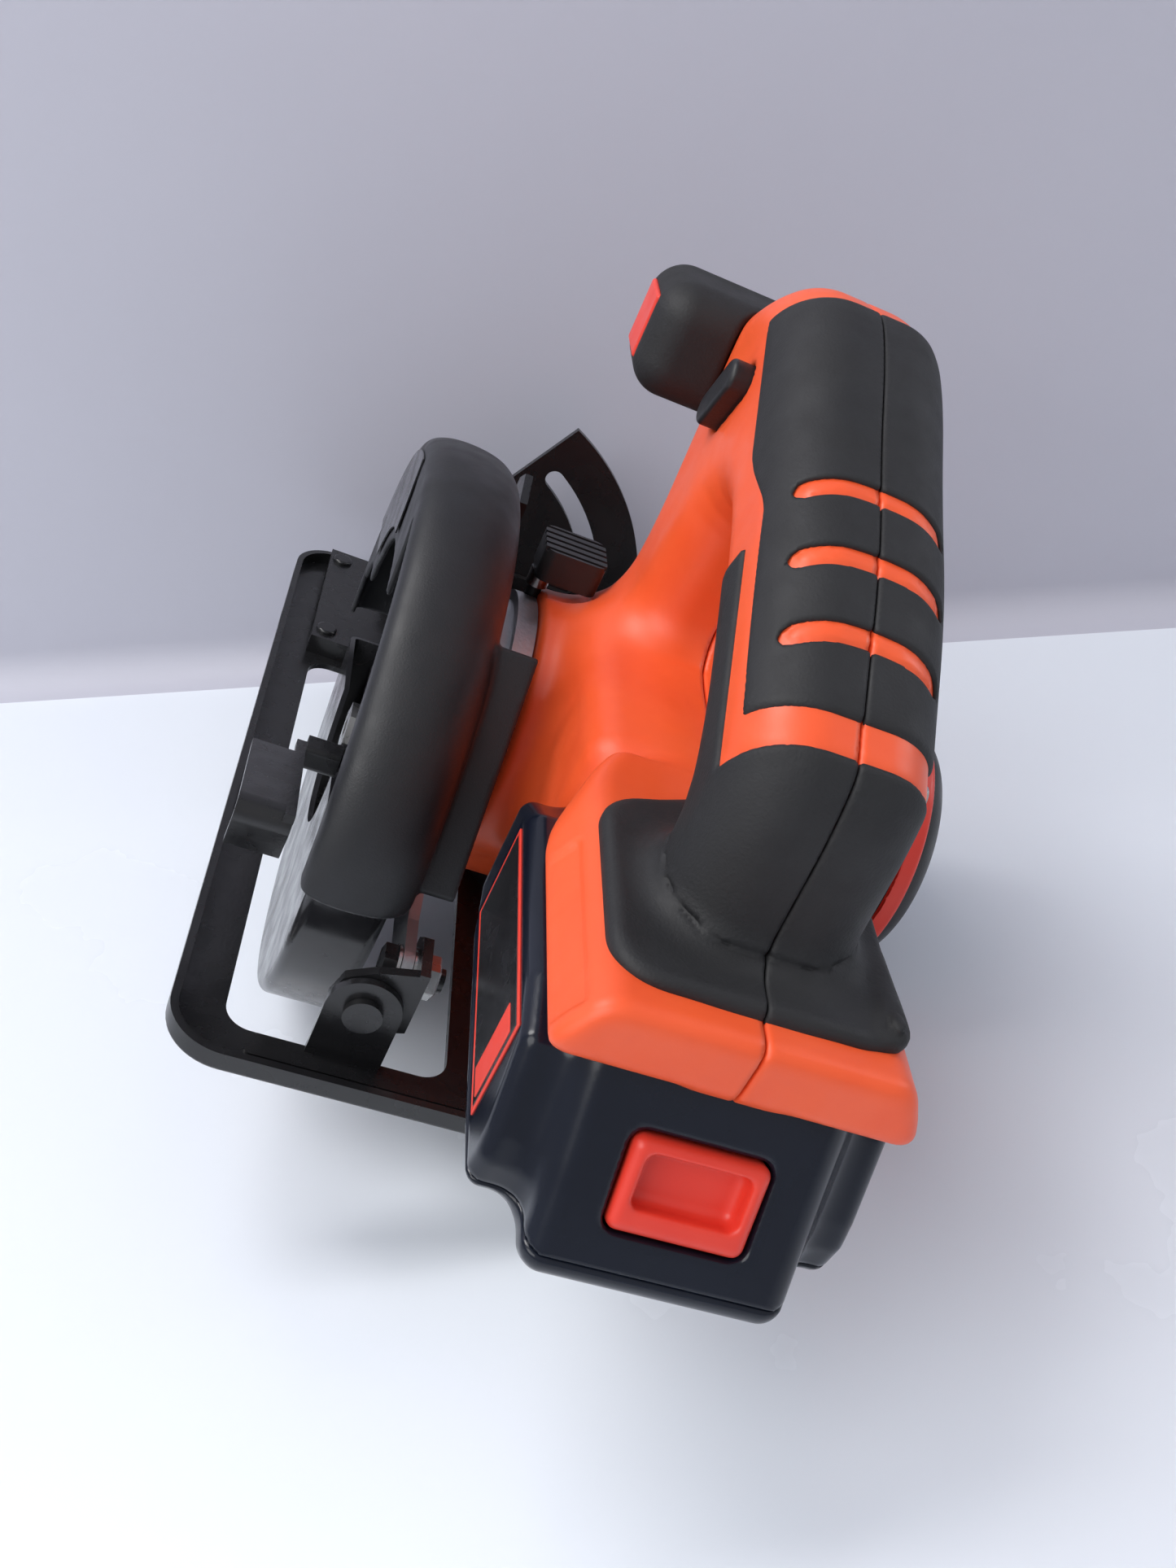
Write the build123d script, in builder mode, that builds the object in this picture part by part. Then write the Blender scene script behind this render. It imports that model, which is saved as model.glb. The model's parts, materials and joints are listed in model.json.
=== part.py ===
from build123d import *
from math import atan2, cos, degrees, radians, sin, sqrt
import os

os.makedirs("parts", exist_ok=True)

# Cordless circular saw, blade on the left. +X tool's right, +Y cutting direction, +Z up.
# Origin: on the shoe's sole, in the housing's split plane, straight below the blade's axis.

# ---- driving dimensions, mm ----
SHOE_LEFT, SHOE_RIGHT = -97.5, 42.0
SHOE_REAR, SHOE_FRONT = -105.0, 154.0
SHOE_T, FLANGE_H = 2.0, 6.0
WINDOW_LEFT, WINDOW_RIGHT = -84.2, -28.0
WINDOW_REAR, WINDOW_FRONT = -91.5, 82.0
FENCE_Y, FENCE_WIDE, FENCE_HIGH = 100.0, 9.5, 2.7

BLADE_R, BLADE_T, BLADE_TEETH = 70.0, 1.6, 24
ARBOR_Z = 33.0
BLADE_X = -66.0
BORE_R = 5.0
FLANGE_R = 17.0

BEVEL_X, BEVEL_Z = -54.5, 19.0          # bevel pivot line, along Y
BEVEL_SLOT_R, BEVEL_MAX = 60.0, 45.0
DEPTH_Y, DEPTH_Z, DEPTH_MAX = -82.0, 25.0, 18.0   # depth pivot line, along X
LOCK_BOLT = (90.0, DEPTH_Z)             # depth lock bolt, (y, z)
PLATE_T = 2.5
BOLT_R, PIVOT_R = 3.0, 3.15
GAP, RUNNING = 0.3, 0.05                # between bodies, and on a running fit

GEAR_MODULE, PINION_TEETH, GEAR_TEETH = 0.8, 11, 52
CENTRE_DISTANCE = GEAR_MODULE * (PINION_TEETH + GEAR_TEETH) / 2
MOTOR_Y = -8.0
MOTOR_Z = ARBOR_Z + sqrt(CENTRE_DISTANCE**2 - MOTOR_Y**2)
MOTOR_CENTRE = (MOTOR_Y, MOTOR_Z)
ARBOR_CENTRE = (0.0, ARBOR_Z)
SHAFT_R = 2.5
CAN_R, CAN_BORE = 22.5, 20.5

CASE_X, NOSE_X, NOSE_R, COVER_X = -50.0, -58.0, 24.0, -26.0
WALL_X = -52.0                          # left face of the upper guard's right wall
UPPER_R, LOWER_R = 85.0, 75.5
GUARD_LEFT, GUARD_START, GUARD_ARC = -78.0, -5.0, 181.0
LABEL_WALL_R = 54.0
LIP_RIGHT = -41.0
LOWER_LEFT, LOWER_RIGHT = -75.0, -54.5
LOWER_START, LOWER_ARC = 172.0, 178.0
LEVER_LEFT, LEVER_RIGHT = -97.3, -84.0

BARREL_R, BARREL_BORE = 37.0, 33.2
BARREL_LEFT, BARREL_RIGHT = -38.0, 62.0
HALF_HANDLE, SKIN, SHELL = 20.5, 1.4, 2.3
HALF_BRIDGE = 30.0
END_CAP_RIGHT = 84.0
GRIP_THICK = 36.0

HALF_BATTERY, HALF_CORE = 38.5, 26.5
BATTERY_TOP, BATTERY_SEAM, BATTERY_BOTTOM = 87.0, 53.0, 45.0
BATTERY_FRONT, BATTERY_REAR = -78.0, -180.0
CELL_R, CELL_LONG = 9.1, 65.0

# derived places
REAR_PLATE_Y = WINDOW_REAR + GAP
EAR_X = -45.2
QUAD_Y = 137.5
FRONT_PLATE_Y = QUAD_Y - 2 * PLATE_T - GAP
BEVEL_BOLT = (4.9, 27.4)                # (x, z), on the bevel slot's radius
DEPTH_PLATE_X = -41.5
BRIDGE_Z = 8.6
RIVET_SPOTS = ((-82.0, 92.0), (-38.0, 92.0), (-82.0, 144.0))
LOCK_PIN, LOCK_PIN_Z = (-39.5, 5.0), 58.2


def yz(x):
    """Sketch plane across the tool at x: sketch right is +Y, sketch up is +Z; extrudes to +X."""
    return Plane(origin=(x, 0, 0), x_dir=(0, 1, 0), z_dir=(1, 0, 0))


def xz(y):
    """Upright sketch plane at y: sketch right is +X, sketch up is +Z; extrudes towards -Y."""
    return Plane(origin=(0, y, 0), x_dir=(1, 0, 0), z_dir=(0, -1, 0))


def radial(angle, y=0.0, z=ARBOR_Z):
    """Plane through the line along X at (y, z): sketch right is +X, sketch up is the radius."""
    a = radians(angle)
    return Plane(origin=(0, y, z), x_dir=(1, 0, 0), z_dir=(0, -sin(a), cos(a)))


def grip_plane(x=0.0):
    """Plane along the grip: sketch right runs rearward, sketch up runs down into the opening."""
    return Plane(origin=(x, -68.5, 179.5), x_dir=(0, -0.893, -0.450), z_dir=(1, 0, 0))


def arbor_axis():
    return Axis((0, 0, ARBOR_Z), (1, 0, 0))


def motor_axis():
    return Axis((0, MOTOR_Y, MOTOR_Z), (1, 0, 0))


def polar(radius, angle, centre=(0.0, 0.0)):
    a = radians(angle)
    return (centre[0] + radius * cos(a), centre[1] + radius * sin(a))


def save(name, part):
    part.label = name
    export_step(part, f"parts/{name}.step")


def tube(name, centre, x0, x1, outer, inner=0.0, edge=0.0):
    """A turned piece along X, with an optional bore and broken outer edges."""
    with BuildPart() as piece:
        with BuildSketch(yz(x0)):
            with Locations(centre):
                Circle(outer)
                if inner:
                    Circle(inner, mode=Mode.SUBTRACT)
        extrude(amount=x1 - x0)
        if edge:
            rim = piece.edges().filter_by(GeomType.CIRCLE).group_by(SortBy.RADIUS)[-1]
            chamfer(rim, edge)
    save(name, piece.part)


# ======================= shoe =======================

with BuildPart() as shoe:
    width, length = SHOE_RIGHT - SHOE_LEFT, SHOE_FRONT - SHOE_REAR
    centre = ((SHOE_LEFT + SHOE_RIGHT) / 2, (SHOE_REAR + SHOE_FRONT) / 2)
    with BuildSketch():
        with Locations(centre):
            RectangleRounded(width, length, 15)
    extrude(amount=FLANGE_H)
    with BuildSketch(Plane.XY.offset(SHOE_T)):
        with Locations(centre):
            RectangleRounded(width - 2 * SHOE_T, length - 2 * SHOE_T, 13)
    extrude(amount=FLANGE_H, mode=Mode.SUBTRACT)
    fillet(shoe.faces().sort_by(Axis.Z)[0].outer_wire().edges(), 1.4)
    # window for blade and guard
    with BuildSketch():
        with Locations(((WINDOW_LEFT + WINDOW_RIGHT) / 2, (WINDOW_REAR + WINDOW_FRONT) / 2)):
            RectangleRounded(WINDOW_RIGHT - WINDOW_LEFT, WINDOW_FRONT - WINDOW_REAR, 7)
    extrude(amount=SHOE_T, mode=Mode.SUBTRACT)
    # raised stiffening bead along the rear
    with BuildSketch(Plane.XY.offset(SHOE_T)):
        with Locations((-30, SHOE_REAR + 7.5)):
            RectangleRounded(96, 4, 1.9)
    extrude(amount=0.9)
    # rear ear carrying the bevel pivot
    with BuildSketch(xz(WINDOW_REAR)):
        with Locations((BEVEL_X, BEVEL_Z)):
            Circle(9.3)
        with Locations((BEVEL_X, BEVEL_Z / 2)):
            Rectangle(18.6, BEVEL_Z)
        with Locations((BEVEL_X, BEVEL_Z)):
            Circle(PIVOT_R + RUNNING, mode=Mode.SUBTRACT)
    extrude(amount=SHOE_T)
    # slot for a rip fence bar through the left and right flanges, and rivet holes
    with BuildSketch(Plane.XY.offset(SHOE_T)):
        with Locations((centre[0], FENCE_Y)):
            Rectangle(width + 10, FENCE_WIDE)
    extrude(amount=FENCE_HIGH, mode=Mode.SUBTRACT)
    with BuildSketch():
        with Locations(RIVET_SPOTS):
            Circle(1.7)
    extrude(amount=SHOE_T, mode=Mode.SUBTRACT)
save("shoe", shoe.part)

# ---- front quadrant: plate for the bevel angle, bent up from a bridge plate ----
pivot = (BEVEL_X, BEVEL_Z)
bevel_slot_line = Edge.make_circle(
    BEVEL_SLOT_R, Plane(origin=(*pivot, 0)), start_angle=6, end_angle=BEVEL_MAX + 14
)
depth_slot_line = Edge.make_circle(
    LOCK_BOLT[0] - DEPTH_Y, Plane(origin=(DEPTH_Y, DEPTH_Z, 0)), start_angle=-0.3, end_angle=DEPTH_MAX + 0.5
)
with BuildPart() as bevel_quadrant:
    with BuildSketch(xz(QUAD_Y)):
        with BuildLine():
            foot = (BEVEL_X - 9.0, SHOE_T + GAP)
            low_end = polar(78, 2, pivot)
            ThreePointArc(polar(78, 66, pivot), polar(78, 35, pivot), low_end)
            Polyline(low_end, (low_end[0], foot[1]), foot, (foot[0], 23), polar(78, 66, pivot))
        make_face()
        with Locations(pivot):
            Circle(PIVOT_R, mode=Mode.SUBTRACT)
        SlotArc(bevel_slot_line, 2 * BOLT_R + 0.6, mode=Mode.SUBTRACT)
    extrude(amount=PLATE_T)
    # bridge over the shoe, leaving a channel for the fence bar
    with BuildSketch(Plane.XY.offset(SHOE_T)):
        with Locations((BEVEL_X - 4, 118.5)):
            Rectangle(56, 65)
    extrude(amount=BRIDGE_Z - SHOE_T)
    with BuildSketch(Plane.XY.offset(SHOE_T)):
        with Locations((BEVEL_X - 5, 117.5)):
            Rectangle(60, 41)
    extrude(amount=BRIDGE_Z - SHOE_T - PLATE_T, mode=Mode.SUBTRACT)
    with BuildSketch(Plane.XY.offset(SHOE_T)):
        with Locations((BEVEL_X - 5, FENCE_Y)):
            Rectangle(60, FENCE_WIDE + 2)
        with Locations(RIVET_SPOTS):
            Circle(1.7)
    extrude(amount=FENCE_HIGH + 1, mode=Mode.SUBTRACT)
    with BuildSketch(Plane.XY.offset(SHOE_T)):
        with Locations(RIVET_SPOTS):
            Circle(1.7)
    extrude(amount=BRIDGE_Z, mode=Mode.SUBTRACT)
save("bevel_quadrant", bevel_quadrant.part)

with BuildPart() as quadrant_rivets:
    for x, y in RIVET_SPOTS:
        with BuildSketch(Plane.XY.offset(0.2)):
            with Locations((x, y)):
                Circle(1.65)
        extrude(amount=BRIDGE_Z)
        with BuildSketch(Plane.XY.offset(BRIDGE_Z)):
            with Locations((x, y)):
                Circle(3.4)
        extrude(amount=1.4)
    fillet(quadrant_rivets.faces().filter_by(Axis.Z).group_by(Axis.Z)[-1].edges(), 0.9)
save("quadrant_rivets", quadrant_rivets.part)

# two pivot rivets: each has a shank in its plate pair and a head at both ends
with BuildPart() as bevel_rivets:
    for rear, front in ((WINDOW_REAR - SHOE_T, REAR_PLATE_Y + PLATE_T), (FRONT_PLATE_Y, QUAD_Y)):
        with BuildSketch(xz(front + 0.1)):
            with Locations((BEVEL_X, BEVEL_Z)):
                Circle(PIVOT_R)
        extrude(amount=front - rear + 0.2)
        for y, side in ((rear - 0.1, 1), (front + 0.1, -1)):
            with BuildSketch(xz(y)):
                with Locations((BEVEL_X, BEVEL_Z)):
                    Circle(4.8)
            extrude(amount=1.9 * side)
save("bevel_rivets", bevel_rivets.part)

# ======================= bevel frame =======================

with BuildPart() as rear_bevel_bracket:
    with BuildSketch(xz(REAR_PLATE_Y + PLATE_T)):
        with BuildLine():
            Polyline((BEVEL_X, 10), (BEVEL_X - 6, 13), (BEVEL_X - 9, BEVEL_Z), (BEVEL_X - 7, 26),
                     (BEVEL_X, 30), (EAR_X + PLATE_T, 33), (EAR_X + PLATE_T, 14), close=True)
        make_face()
        with Locations((BEVEL_X, BEVEL_Z)):
            Circle(PIVOT_R + RUNNING, mode=Mode.SUBTRACT)
    extrude(amount=PLATE_T)
    with BuildSketch(yz(EAR_X)):
        with BuildLine():
            Polyline((REAR_PLATE_Y, 14), (REAR_PLATE_Y, 33), (DEPTH_Y + 4, 33.5),
                     (DEPTH_Y + 9, 29), (DEPTH_Y + 9, 20), (DEPTH_Y + 2, 15), close=True)
        make_face()
        with Locations((DEPTH_Y, DEPTH_Z)):
            Circle(BOLT_R, mode=Mode.SUBTRACT)
    extrude(amount=PLATE_T)
save("rear_bevel_bracket", rear_bevel_bracket.part)

# front bracket: a plate behind the quadrant, bent back into the depth quadrant
with BuildPart() as front_bevel_bracket:
    with BuildSketch(xz(FRONT_PLATE_Y + PLATE_T)):
        with Locations((BEVEL_X, BEVEL_Z)):
            Circle(9.6)
        with Locations((BEVEL_X + 34, BEVEL_Z + 4)):
            Rectangle(68, 18)
        with Locations(BEVEL_BOLT):
            Circle(9.5)
        with Locations((BEVEL_X, BEVEL_Z)):
            Circle(PIVOT_R + RUNNING, mode=Mode.SUBTRACT)
        with Locations(BEVEL_BOLT):
            Circle(BOLT_R, mode=Mode.SUBTRACT)
    extrude(amount=PLATE_T)
    with BuildSketch(yz(DEPTH_PLATE_X)):
        with BuildLine():
            Polyline((FRONT_PLATE_Y + PLATE_T, 14), (FRONT_PLATE_Y + PLATE_T, 32), (104, 38),
                     (96, 56), (92, 84), (84, 89), (73, 84), (77, 50), (79, 14), close=True)
        make_face()
        SlotArc(depth_slot_line, 2 * BOLT_R + 0.6, mode=Mode.SUBTRACT)
    extrude(amount=PLATE_T)
save("front_bevel_bracket", front_bevel_bracket.part)

with BuildPart() as bevel_bolt:
    with BuildSketch(xz(FRONT_PLATE_Y)):
        with Locations(BEVEL_BOLT):
            RegularPolygon(6.2, 6)
    extrude(amount=2.4)
    with BuildSketch(xz(FRONT_PLATE_Y)):
        with Locations(BEVEL_BOLT):
            Circle(BOLT_R)
    extrude(amount=-18)
save("bevel_bolt", bevel_bolt.part)

with BuildPart() as bevel_knob:
    with BuildSketch(xz(QUAD_Y + GAP)):
        with Locations(BEVEL_BOLT):
            Circle(8.5)
            Circle(BOLT_R + RUNNING, mode=Mode.SUBTRACT)
    extrude(amount=-11)
    with BuildSketch(xz(QUAD_Y + GAP + 3)):
        with Locations(BEVEL_BOLT):
            SlotOverall(40, 9)
            Circle(BOLT_R + RUNNING, mode=Mode.SUBTRACT)
    extrude(amount=-9)
    fillet(bevel_knob.faces().sort_by(Axis.Y)[-1].outer_wire().edges(), 0.8)
save("bevel_knob", bevel_knob.part)

with BuildPart() as pivot_bolt:
    with BuildSketch(yz(-53.4)):
        with Locations((DEPTH_Y, DEPTH_Z)):
            RegularPolygon(5.6, 6)
    extrude(amount=3.2)
    with BuildSketch(yz(-50.2)):
        with Locations((DEPTH_Y, DEPTH_Z)):
            Circle(BOLT_R)
    extrude(amount=12.7)
save("depth_pivot_bolt", pivot_bolt.part)

with BuildPart() as depth_pivot_nut:
    with BuildSketch(yz(EAR_X + PLATE_T)):
        with Locations((DEPTH_Y, DEPTH_Z)):
            RegularPolygon(5.6, 6)
            Circle(BOLT_R, mode=Mode.SUBTRACT)
    extrude(amount=3.6)
    chamfer(depth_pivot_nut.faces().sort_by(Axis.X)[-1].outer_wire().edges(), 0.5)
save("depth_pivot_nut", depth_pivot_nut.part)

with BuildPart() as pivot_washers:
    for x, thick in ((-50.2, 0.8), (EAR_X - 1.0, 1.0)):
        with BuildSketch(yz(x)):
            with Locations((DEPTH_Y, DEPTH_Z)):
                Circle(6.0)
                Circle(BOLT_R, mode=Mode.SUBTRACT)
        extrude(amount=thick)
save("pivot_washers", pivot_washers.part)

# ======================= gear case and guards =======================

CASE_SIDES = ((MOTOR_Y, MOTOR_Z, 31.0), (0.0, ARBOR_Z, 25.0))
SCREW_SPOTS = ((MOTOR_Y - 23, MOTOR_Z), (MOTOR_Y + 27, MOTOR_Z + 3), (MOTOR_Y, MOTOR_Z + 24))


def case_outline(inset=0.0):
    """Figure of two circles, one round each gear axis."""
    for y, z, radius in CASE_SIDES:
        with Locations((y, z)):
            Circle(radius - inset)


with BuildPart() as gear_case:
    with BuildSketch(yz(CASE_X)):
        case_outline()
    extrude(amount=24)
    with BuildSketch(yz(CASE_X + 6)):
        with Locations(MOTOR_CENTRE):
            Circle(34)
    extrude(amount=5.5)
    with BuildSketch(yz(NOSE_X)):
        with Locations(ARBOR_CENTRE):
            Circle(NOSE_R)
    extrude(amount=CASE_X - NOSE_X)
    # rear arm on the depth pivot, front arm for the depth lock
    with BuildSketch(yz(-49.2)):
        with BuildLine():
            Polyline((-18, 14), (-18, 46), (DEPTH_Y + 12, 31.2), (DEPTH_Y, DEPTH_Z + 6.2),
                     (DEPTH_Y, DEPTH_Z - 6.2), close=True)
        make_face()
        with Locations((DEPTH_Y, DEPTH_Z)):
            Circle(6.2)
    extrude(amount=2.8)
    with BuildSketch(yz(DEPTH_PLATE_X - GAP - 2.8)):
        with BuildLine():
            Polyline((18, 16), (18, 44), (LOCK_BOLT[0], DEPTH_Z + 7), (LOCK_BOLT[0], DEPTH_Z - 7), close=True)
        make_face()
        with Locations(LOCK_BOLT):
            Circle(7)
    extrude(amount=2.8)
    # cavity, bearing seat, bolt holes, spindle lock hole
    with BuildSketch(yz(CASE_X + 3)):
        case_outline(2.6)
    extrude(amount=30, mode=Mode.SUBTRACT)
    with BuildSketch(yz(NOSE_X)):
        with Locations(ARBOR_CENTRE):
            Circle(11.02)
    extrude(amount=7.5, mode=Mode.SUBTRACT)
    with BuildSketch(yz(NOSE_X)):
        with Locations(ARBOR_CENTRE):
            Circle(8)
    extrude(amount=14, mode=Mode.SUBTRACT)
    with BuildSketch(yz(NOSE_X)):
        with Locations((DEPTH_Y, DEPTH_Z)):
            Circle(BOLT_R + RUNNING)
        with Locations(LOCK_BOLT):
            Circle(BOLT_R)
        with Locations(SCREW_SPOTS):
            Circle(1.7)
    extrude(amount=30, mode=Mode.SUBTRACT)
    with BuildSketch(Plane.XY.offset(LOCK_PIN_Z)):
        with Locations(LOCK_PIN):
            Circle(2.3)
    extrude(amount=60, mode=Mode.SUBTRACT)
save("gear_case", gear_case.part)

with BuildPart() as gear_cover:
    with BuildSketch(yz(COVER_X)):
        case_outline()
        with Locations((0, ARBOR_Z), (MOTOR_Y, MOTOR_Z)):
            Circle(8.02, mode=Mode.SUBTRACT)
    extrude(amount=6)
save("gear_cover", gear_cover.part)

with BuildPart() as gear_case_screws:
    for y, z in SCREW_SPOTS:
        with BuildSketch(yz(WALL_X - 1.4)):
            with Locations((y, z)):
                Circle(3.0)
                RectangleRounded(3.4, 1.0, 0.3, mode=Mode.SUBTRACT)
        extrude(amount=1.4)
        with BuildSketch(yz(WALL_X)):
            with Locations((y, z)):
                Circle(1.65)
        extrude(amount=4.6)
save("gear_case_screws", gear_case_screws.part)


def guard_band(points, start, arc, corners=()):
    """Revolve a closed (x, radius) outline about the blade's axis, from an angle through an arc."""
    with BuildPart() as band:
        with BuildSketch(radial(start)) as outline:
            with BuildLine():
                Polyline(*points, close=True)
            make_face()
            for index, radius in corners:
                x, r = points[index]
                fillet(outline.vertices().sort_by_distance((x, r, 0))[0], radius)
        revolve(axis=arbor_axis(), revolution_arc=arc)
    return band.part


DOME = ((GUARD_LEFT, 74), (GUARD_LEFT, UPPER_R), (WALL_X + 2, UPPER_R), (WALL_X + 2, 60),
        (WALL_X, 60), (WALL_X, UPPER_R - 2), (GUARD_LEFT + 1.7, UPPER_R - 2), (GUARD_LEFT + 1.7, 74))
dome = guard_band(DOME, GUARD_START, GUARD_ARC, ((2, 11), (5, 9.2), (1, 4), (6, 2.5)))

with BuildPart() as upper_guard:
    add(dome)
    # right wall, bolted to the gear case round its nose
    with BuildSketch(yz(WALL_X)):
        with Locations(ARBOR_CENTRE):
            Circle(68)
        with Locations((0, ARBOR_Z + 43)):
            Rectangle(200, 100, mode=Mode.INTERSECT)
        with Locations(ARBOR_CENTRE):
            Circle(NOSE_R + 7)
            Circle(NOSE_R + 0.02, mode=Mode.SUBTRACT)
        with Locations(SCREW_SPOTS):
            Circle(1.7, mode=Mode.SUBTRACT)
    extrude(amount=2)
    # left wall over the front quarter, with an arched cut-out at its lower edge
    with BuildSketch(yz(GUARD_LEFT)):
        with Locations(ARBOR_CENTRE):
            Circle(76)
            Circle(LABEL_WALL_R, mode=Mode.SUBTRACT)
        with Locations((34, ARBOR_Z + 60)):
            Rectangle(100, 100, mode=Mode.INTERSECT)
        with Locations((56, ARBOR_Z + 6)):
            Circle(15, mode=Mode.SUBTRACT)
    extrude(amount=1.7)
    # straight lip down the right-hand rear edge
    with BuildSketch(yz(WALL_X)):
        with BuildLine():
            Polyline((-44, 97), (-71, 41), (-68.5, 40), (-42, 94.5), close=True)
        make_face()
    extrude(amount=LIP_RIGHT - WALL_X)
save("upper_guard", upper_guard.part)

with BuildPart() as guard_label:
    with BuildSketch(yz(GUARD_LEFT - 0.4)):
        with Locations(ARBOR_CENTRE):
            Circle(79)
            Circle(57, mode=Mode.SUBTRACT)
        with Locations((62, ARBOR_Z + 80)):
            Rectangle(100, 100, mode=Mode.INTERSECT)
    extrude(amount=0.4)
save("guard_label", guard_label.part)

LOWER = ((LOWER_LEFT, 28), (LOWER_LEFT, LOWER_R), (LOWER_RIGHT, LOWER_R), (LOWER_RIGHT, 30),
         (LOWER_RIGHT - 1.5, 30), (LOWER_RIGHT - 1.5, LOWER_R - 1.6), (LOWER_LEFT + 1.5, LOWER_R - 1.6),
         (LOWER_LEFT + 1.5, 28))
shell = guard_band(LOWER, LOWER_START, LOWER_ARC, ((1, 3.0), (2, 3.0), (5, 1.5), (6, 1.5)))
with BuildPart() as lower_guard:
    add(shell)
    with BuildSketch(yz(LOWER_RIGHT - 1.5)):
        with Locations(ARBOR_CENTRE):
            Circle(33)
            Circle(NOSE_R + RUNNING, mode=Mode.SUBTRACT)
    extrude(amount=1.5)
save("lower_guard", lower_guard.part)

# lever: a bent strip outside the guard, on a short post
with BuildPart() as retract_lever:
    strip = ((-31, 44.2), (-40, 46.5), (-79, 56), (-74.5, 42))
    with BuildSketch(yz(LEVER_LEFT)):
        with BuildLine() as spine:
            FilletPolyline(*strip[1:], radius=3)
        trace(line_width=2.2)
    extrude(amount=LEVER_RIGHT - LEVER_LEFT)
    with BuildSketch(yz(LEVER_RIGHT - 2.5)):
        with BuildLine():
            Polyline(*strip[:3])
        trace(line_width=2.2)
    extrude(amount=2.5)
    with BuildSketch(yz(LEVER_RIGHT)):
        with Locations((-34, 44.5)):
            RectangleRounded(7, 7, 1.5)
    extrude(amount=LOWER_LEFT - LEVER_RIGHT)
save("retract_lever", retract_lever.part)

with BuildPart() as guard_spring:
    with BuildSketch(Plane(origin=(-53.2, NOSE_R + 2, ARBOR_Z), x_dir=(1, 0, 0), z_dir=(0, 0, 1))):
        Circle(0.8)
    revolve(axis=arbor_axis(), revolution_arc=330)
save("guard_return_spring", guard_spring.part)

# ======================= blade and spindle =======================

with BuildPart() as blade:
    with BuildSketch(yz(BLADE_X)):
        with BuildLine():
            pitch = 360 / BLADE_TEETH
            tooth = ((0, 0), (2.2, 0.42), (6.5, 0.62), (7, 0.85))
            Polyline(
                *(polar(BLADE_R - drop, -(k + lag) * pitch, ARBOR_CENTRE)
                  for k in range(BLADE_TEETH) for drop, lag in tooth),
                close=True,
            )
        make_face()
        with Locations(ARBOR_CENTRE):
            Circle(BORE_R, mode=Mode.SUBTRACT)
        with Locations(ARBOR_CENTRE):
            with PolarLocations(BLADE_R - 13, 4, 12):
                SlotOverall(18, 1.4, mode=Mode.SUBTRACT)
    extrude(amount=BLADE_T)
save("blade", blade.part)

tube("outer_flange", ARBOR_CENTRE, BLADE_X - 3, BLADE_X, FLANGE_R, BORE_R, 0.8)
tube("inner_flange", ARBOR_CENTRE, BLADE_X + BLADE_T, NOSE_X - 0.5, FLANGE_R, BORE_R, 0.8)
with BuildPart() as blade_bolt:
    with BuildSketch(yz(BLADE_X - 3)):
        with Locations(ARBOR_CENTRE):
            RegularPolygon(7.6, 6)
    extrude(amount=-4.4)
    with BuildSketch(yz(BLADE_X - 7.4)):
        with Locations(ARBOR_CENTRE):
            RegularPolygon(2.8, 6)
    extrude(amount=3, mode=Mode.SUBTRACT)
save("blade_bolt", blade_bolt.part)

with BuildPart() as spindle:
    for x0, x1, radius in ((BLADE_X - 3, -46.0, BORE_R), (-46.0, -20.0, 4.0)):
        with BuildSketch(yz(x0)):
            with Locations(ARBOR_CENTRE):
                Circle(radius - RUNNING)
        extrude(amount=x1 - x0)
save("spindle", spindle.part)


def gear(name, teeth, centre, x0, x1, phase, bore):
    """Spur gear with straight-sided teeth, thinned for backlash."""
    pitch_r = GEAR_MODULE * teeth / 2
    step = 360 / teeth
    flank = ((pitch_r - 0.95, -0.26), (pitch_r + 0.5, -0.11), (pitch_r + 0.5, 0.11), (pitch_r - 0.95, 0.26))
    with BuildPart() as wheel:
        with BuildSketch(yz(x0)):
            with BuildLine():
                Polyline(
                    *(polar(r, phase + (k + lead) * step, centre) for k in range(teeth) for r, lead in flank),
                    close=True,
                )
            make_face()
            with Locations(centre):
                Circle(bore, mode=Mode.SUBTRACT)
        extrude(amount=x1 - x0)
    save(name, wheel.part)


mesh_angle = degrees(atan2(MOTOR_Z - ARBOR_Z, MOTOR_Y))
gear("spindle_gear", GEAR_TEETH, ARBOR_CENTRE, -44, -36, mesh_angle, 4.0 - RUNNING)
gear("motor_pinion", PINION_TEETH, MOTOR_CENTRE, -45, -35,
     mesh_angle + 180 + 180 / PINION_TEETH, SHAFT_R - RUNNING)

with BuildPart() as spindle_bearings:
    for x0, x1, outer, inner in ((NOSE_X + 0.3, CASE_X - 0.5, 11.0, BORE_R),
                                 (COVER_X, COVER_X + 5.7, 8.0, 4.0)):
        with BuildSketch(yz(x0)):
            with Locations(ARBOR_CENTRE):
                Circle(outer)
                Circle(inner, mode=Mode.SUBTRACT)
        extrude(amount=x1 - x0)
save("spindle_bearings", spindle_bearings.part)

# ======================= motor =======================

tube("motor_can", MOTOR_CENTRE, -6, 44, CAN_R, CAN_BORE)
with BuildPart() as motor_magnets:
    with BuildSketch(yz(2)):
        with Locations(MOTOR_CENTRE):
            Circle(20.4)
            Circle(16.6, mode=Mode.SUBTRACT)
            Rectangle(8, 60, mode=Mode.SUBTRACT)
    extrude(amount=34)
save("motor_magnets", motor_magnets.part)

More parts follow.
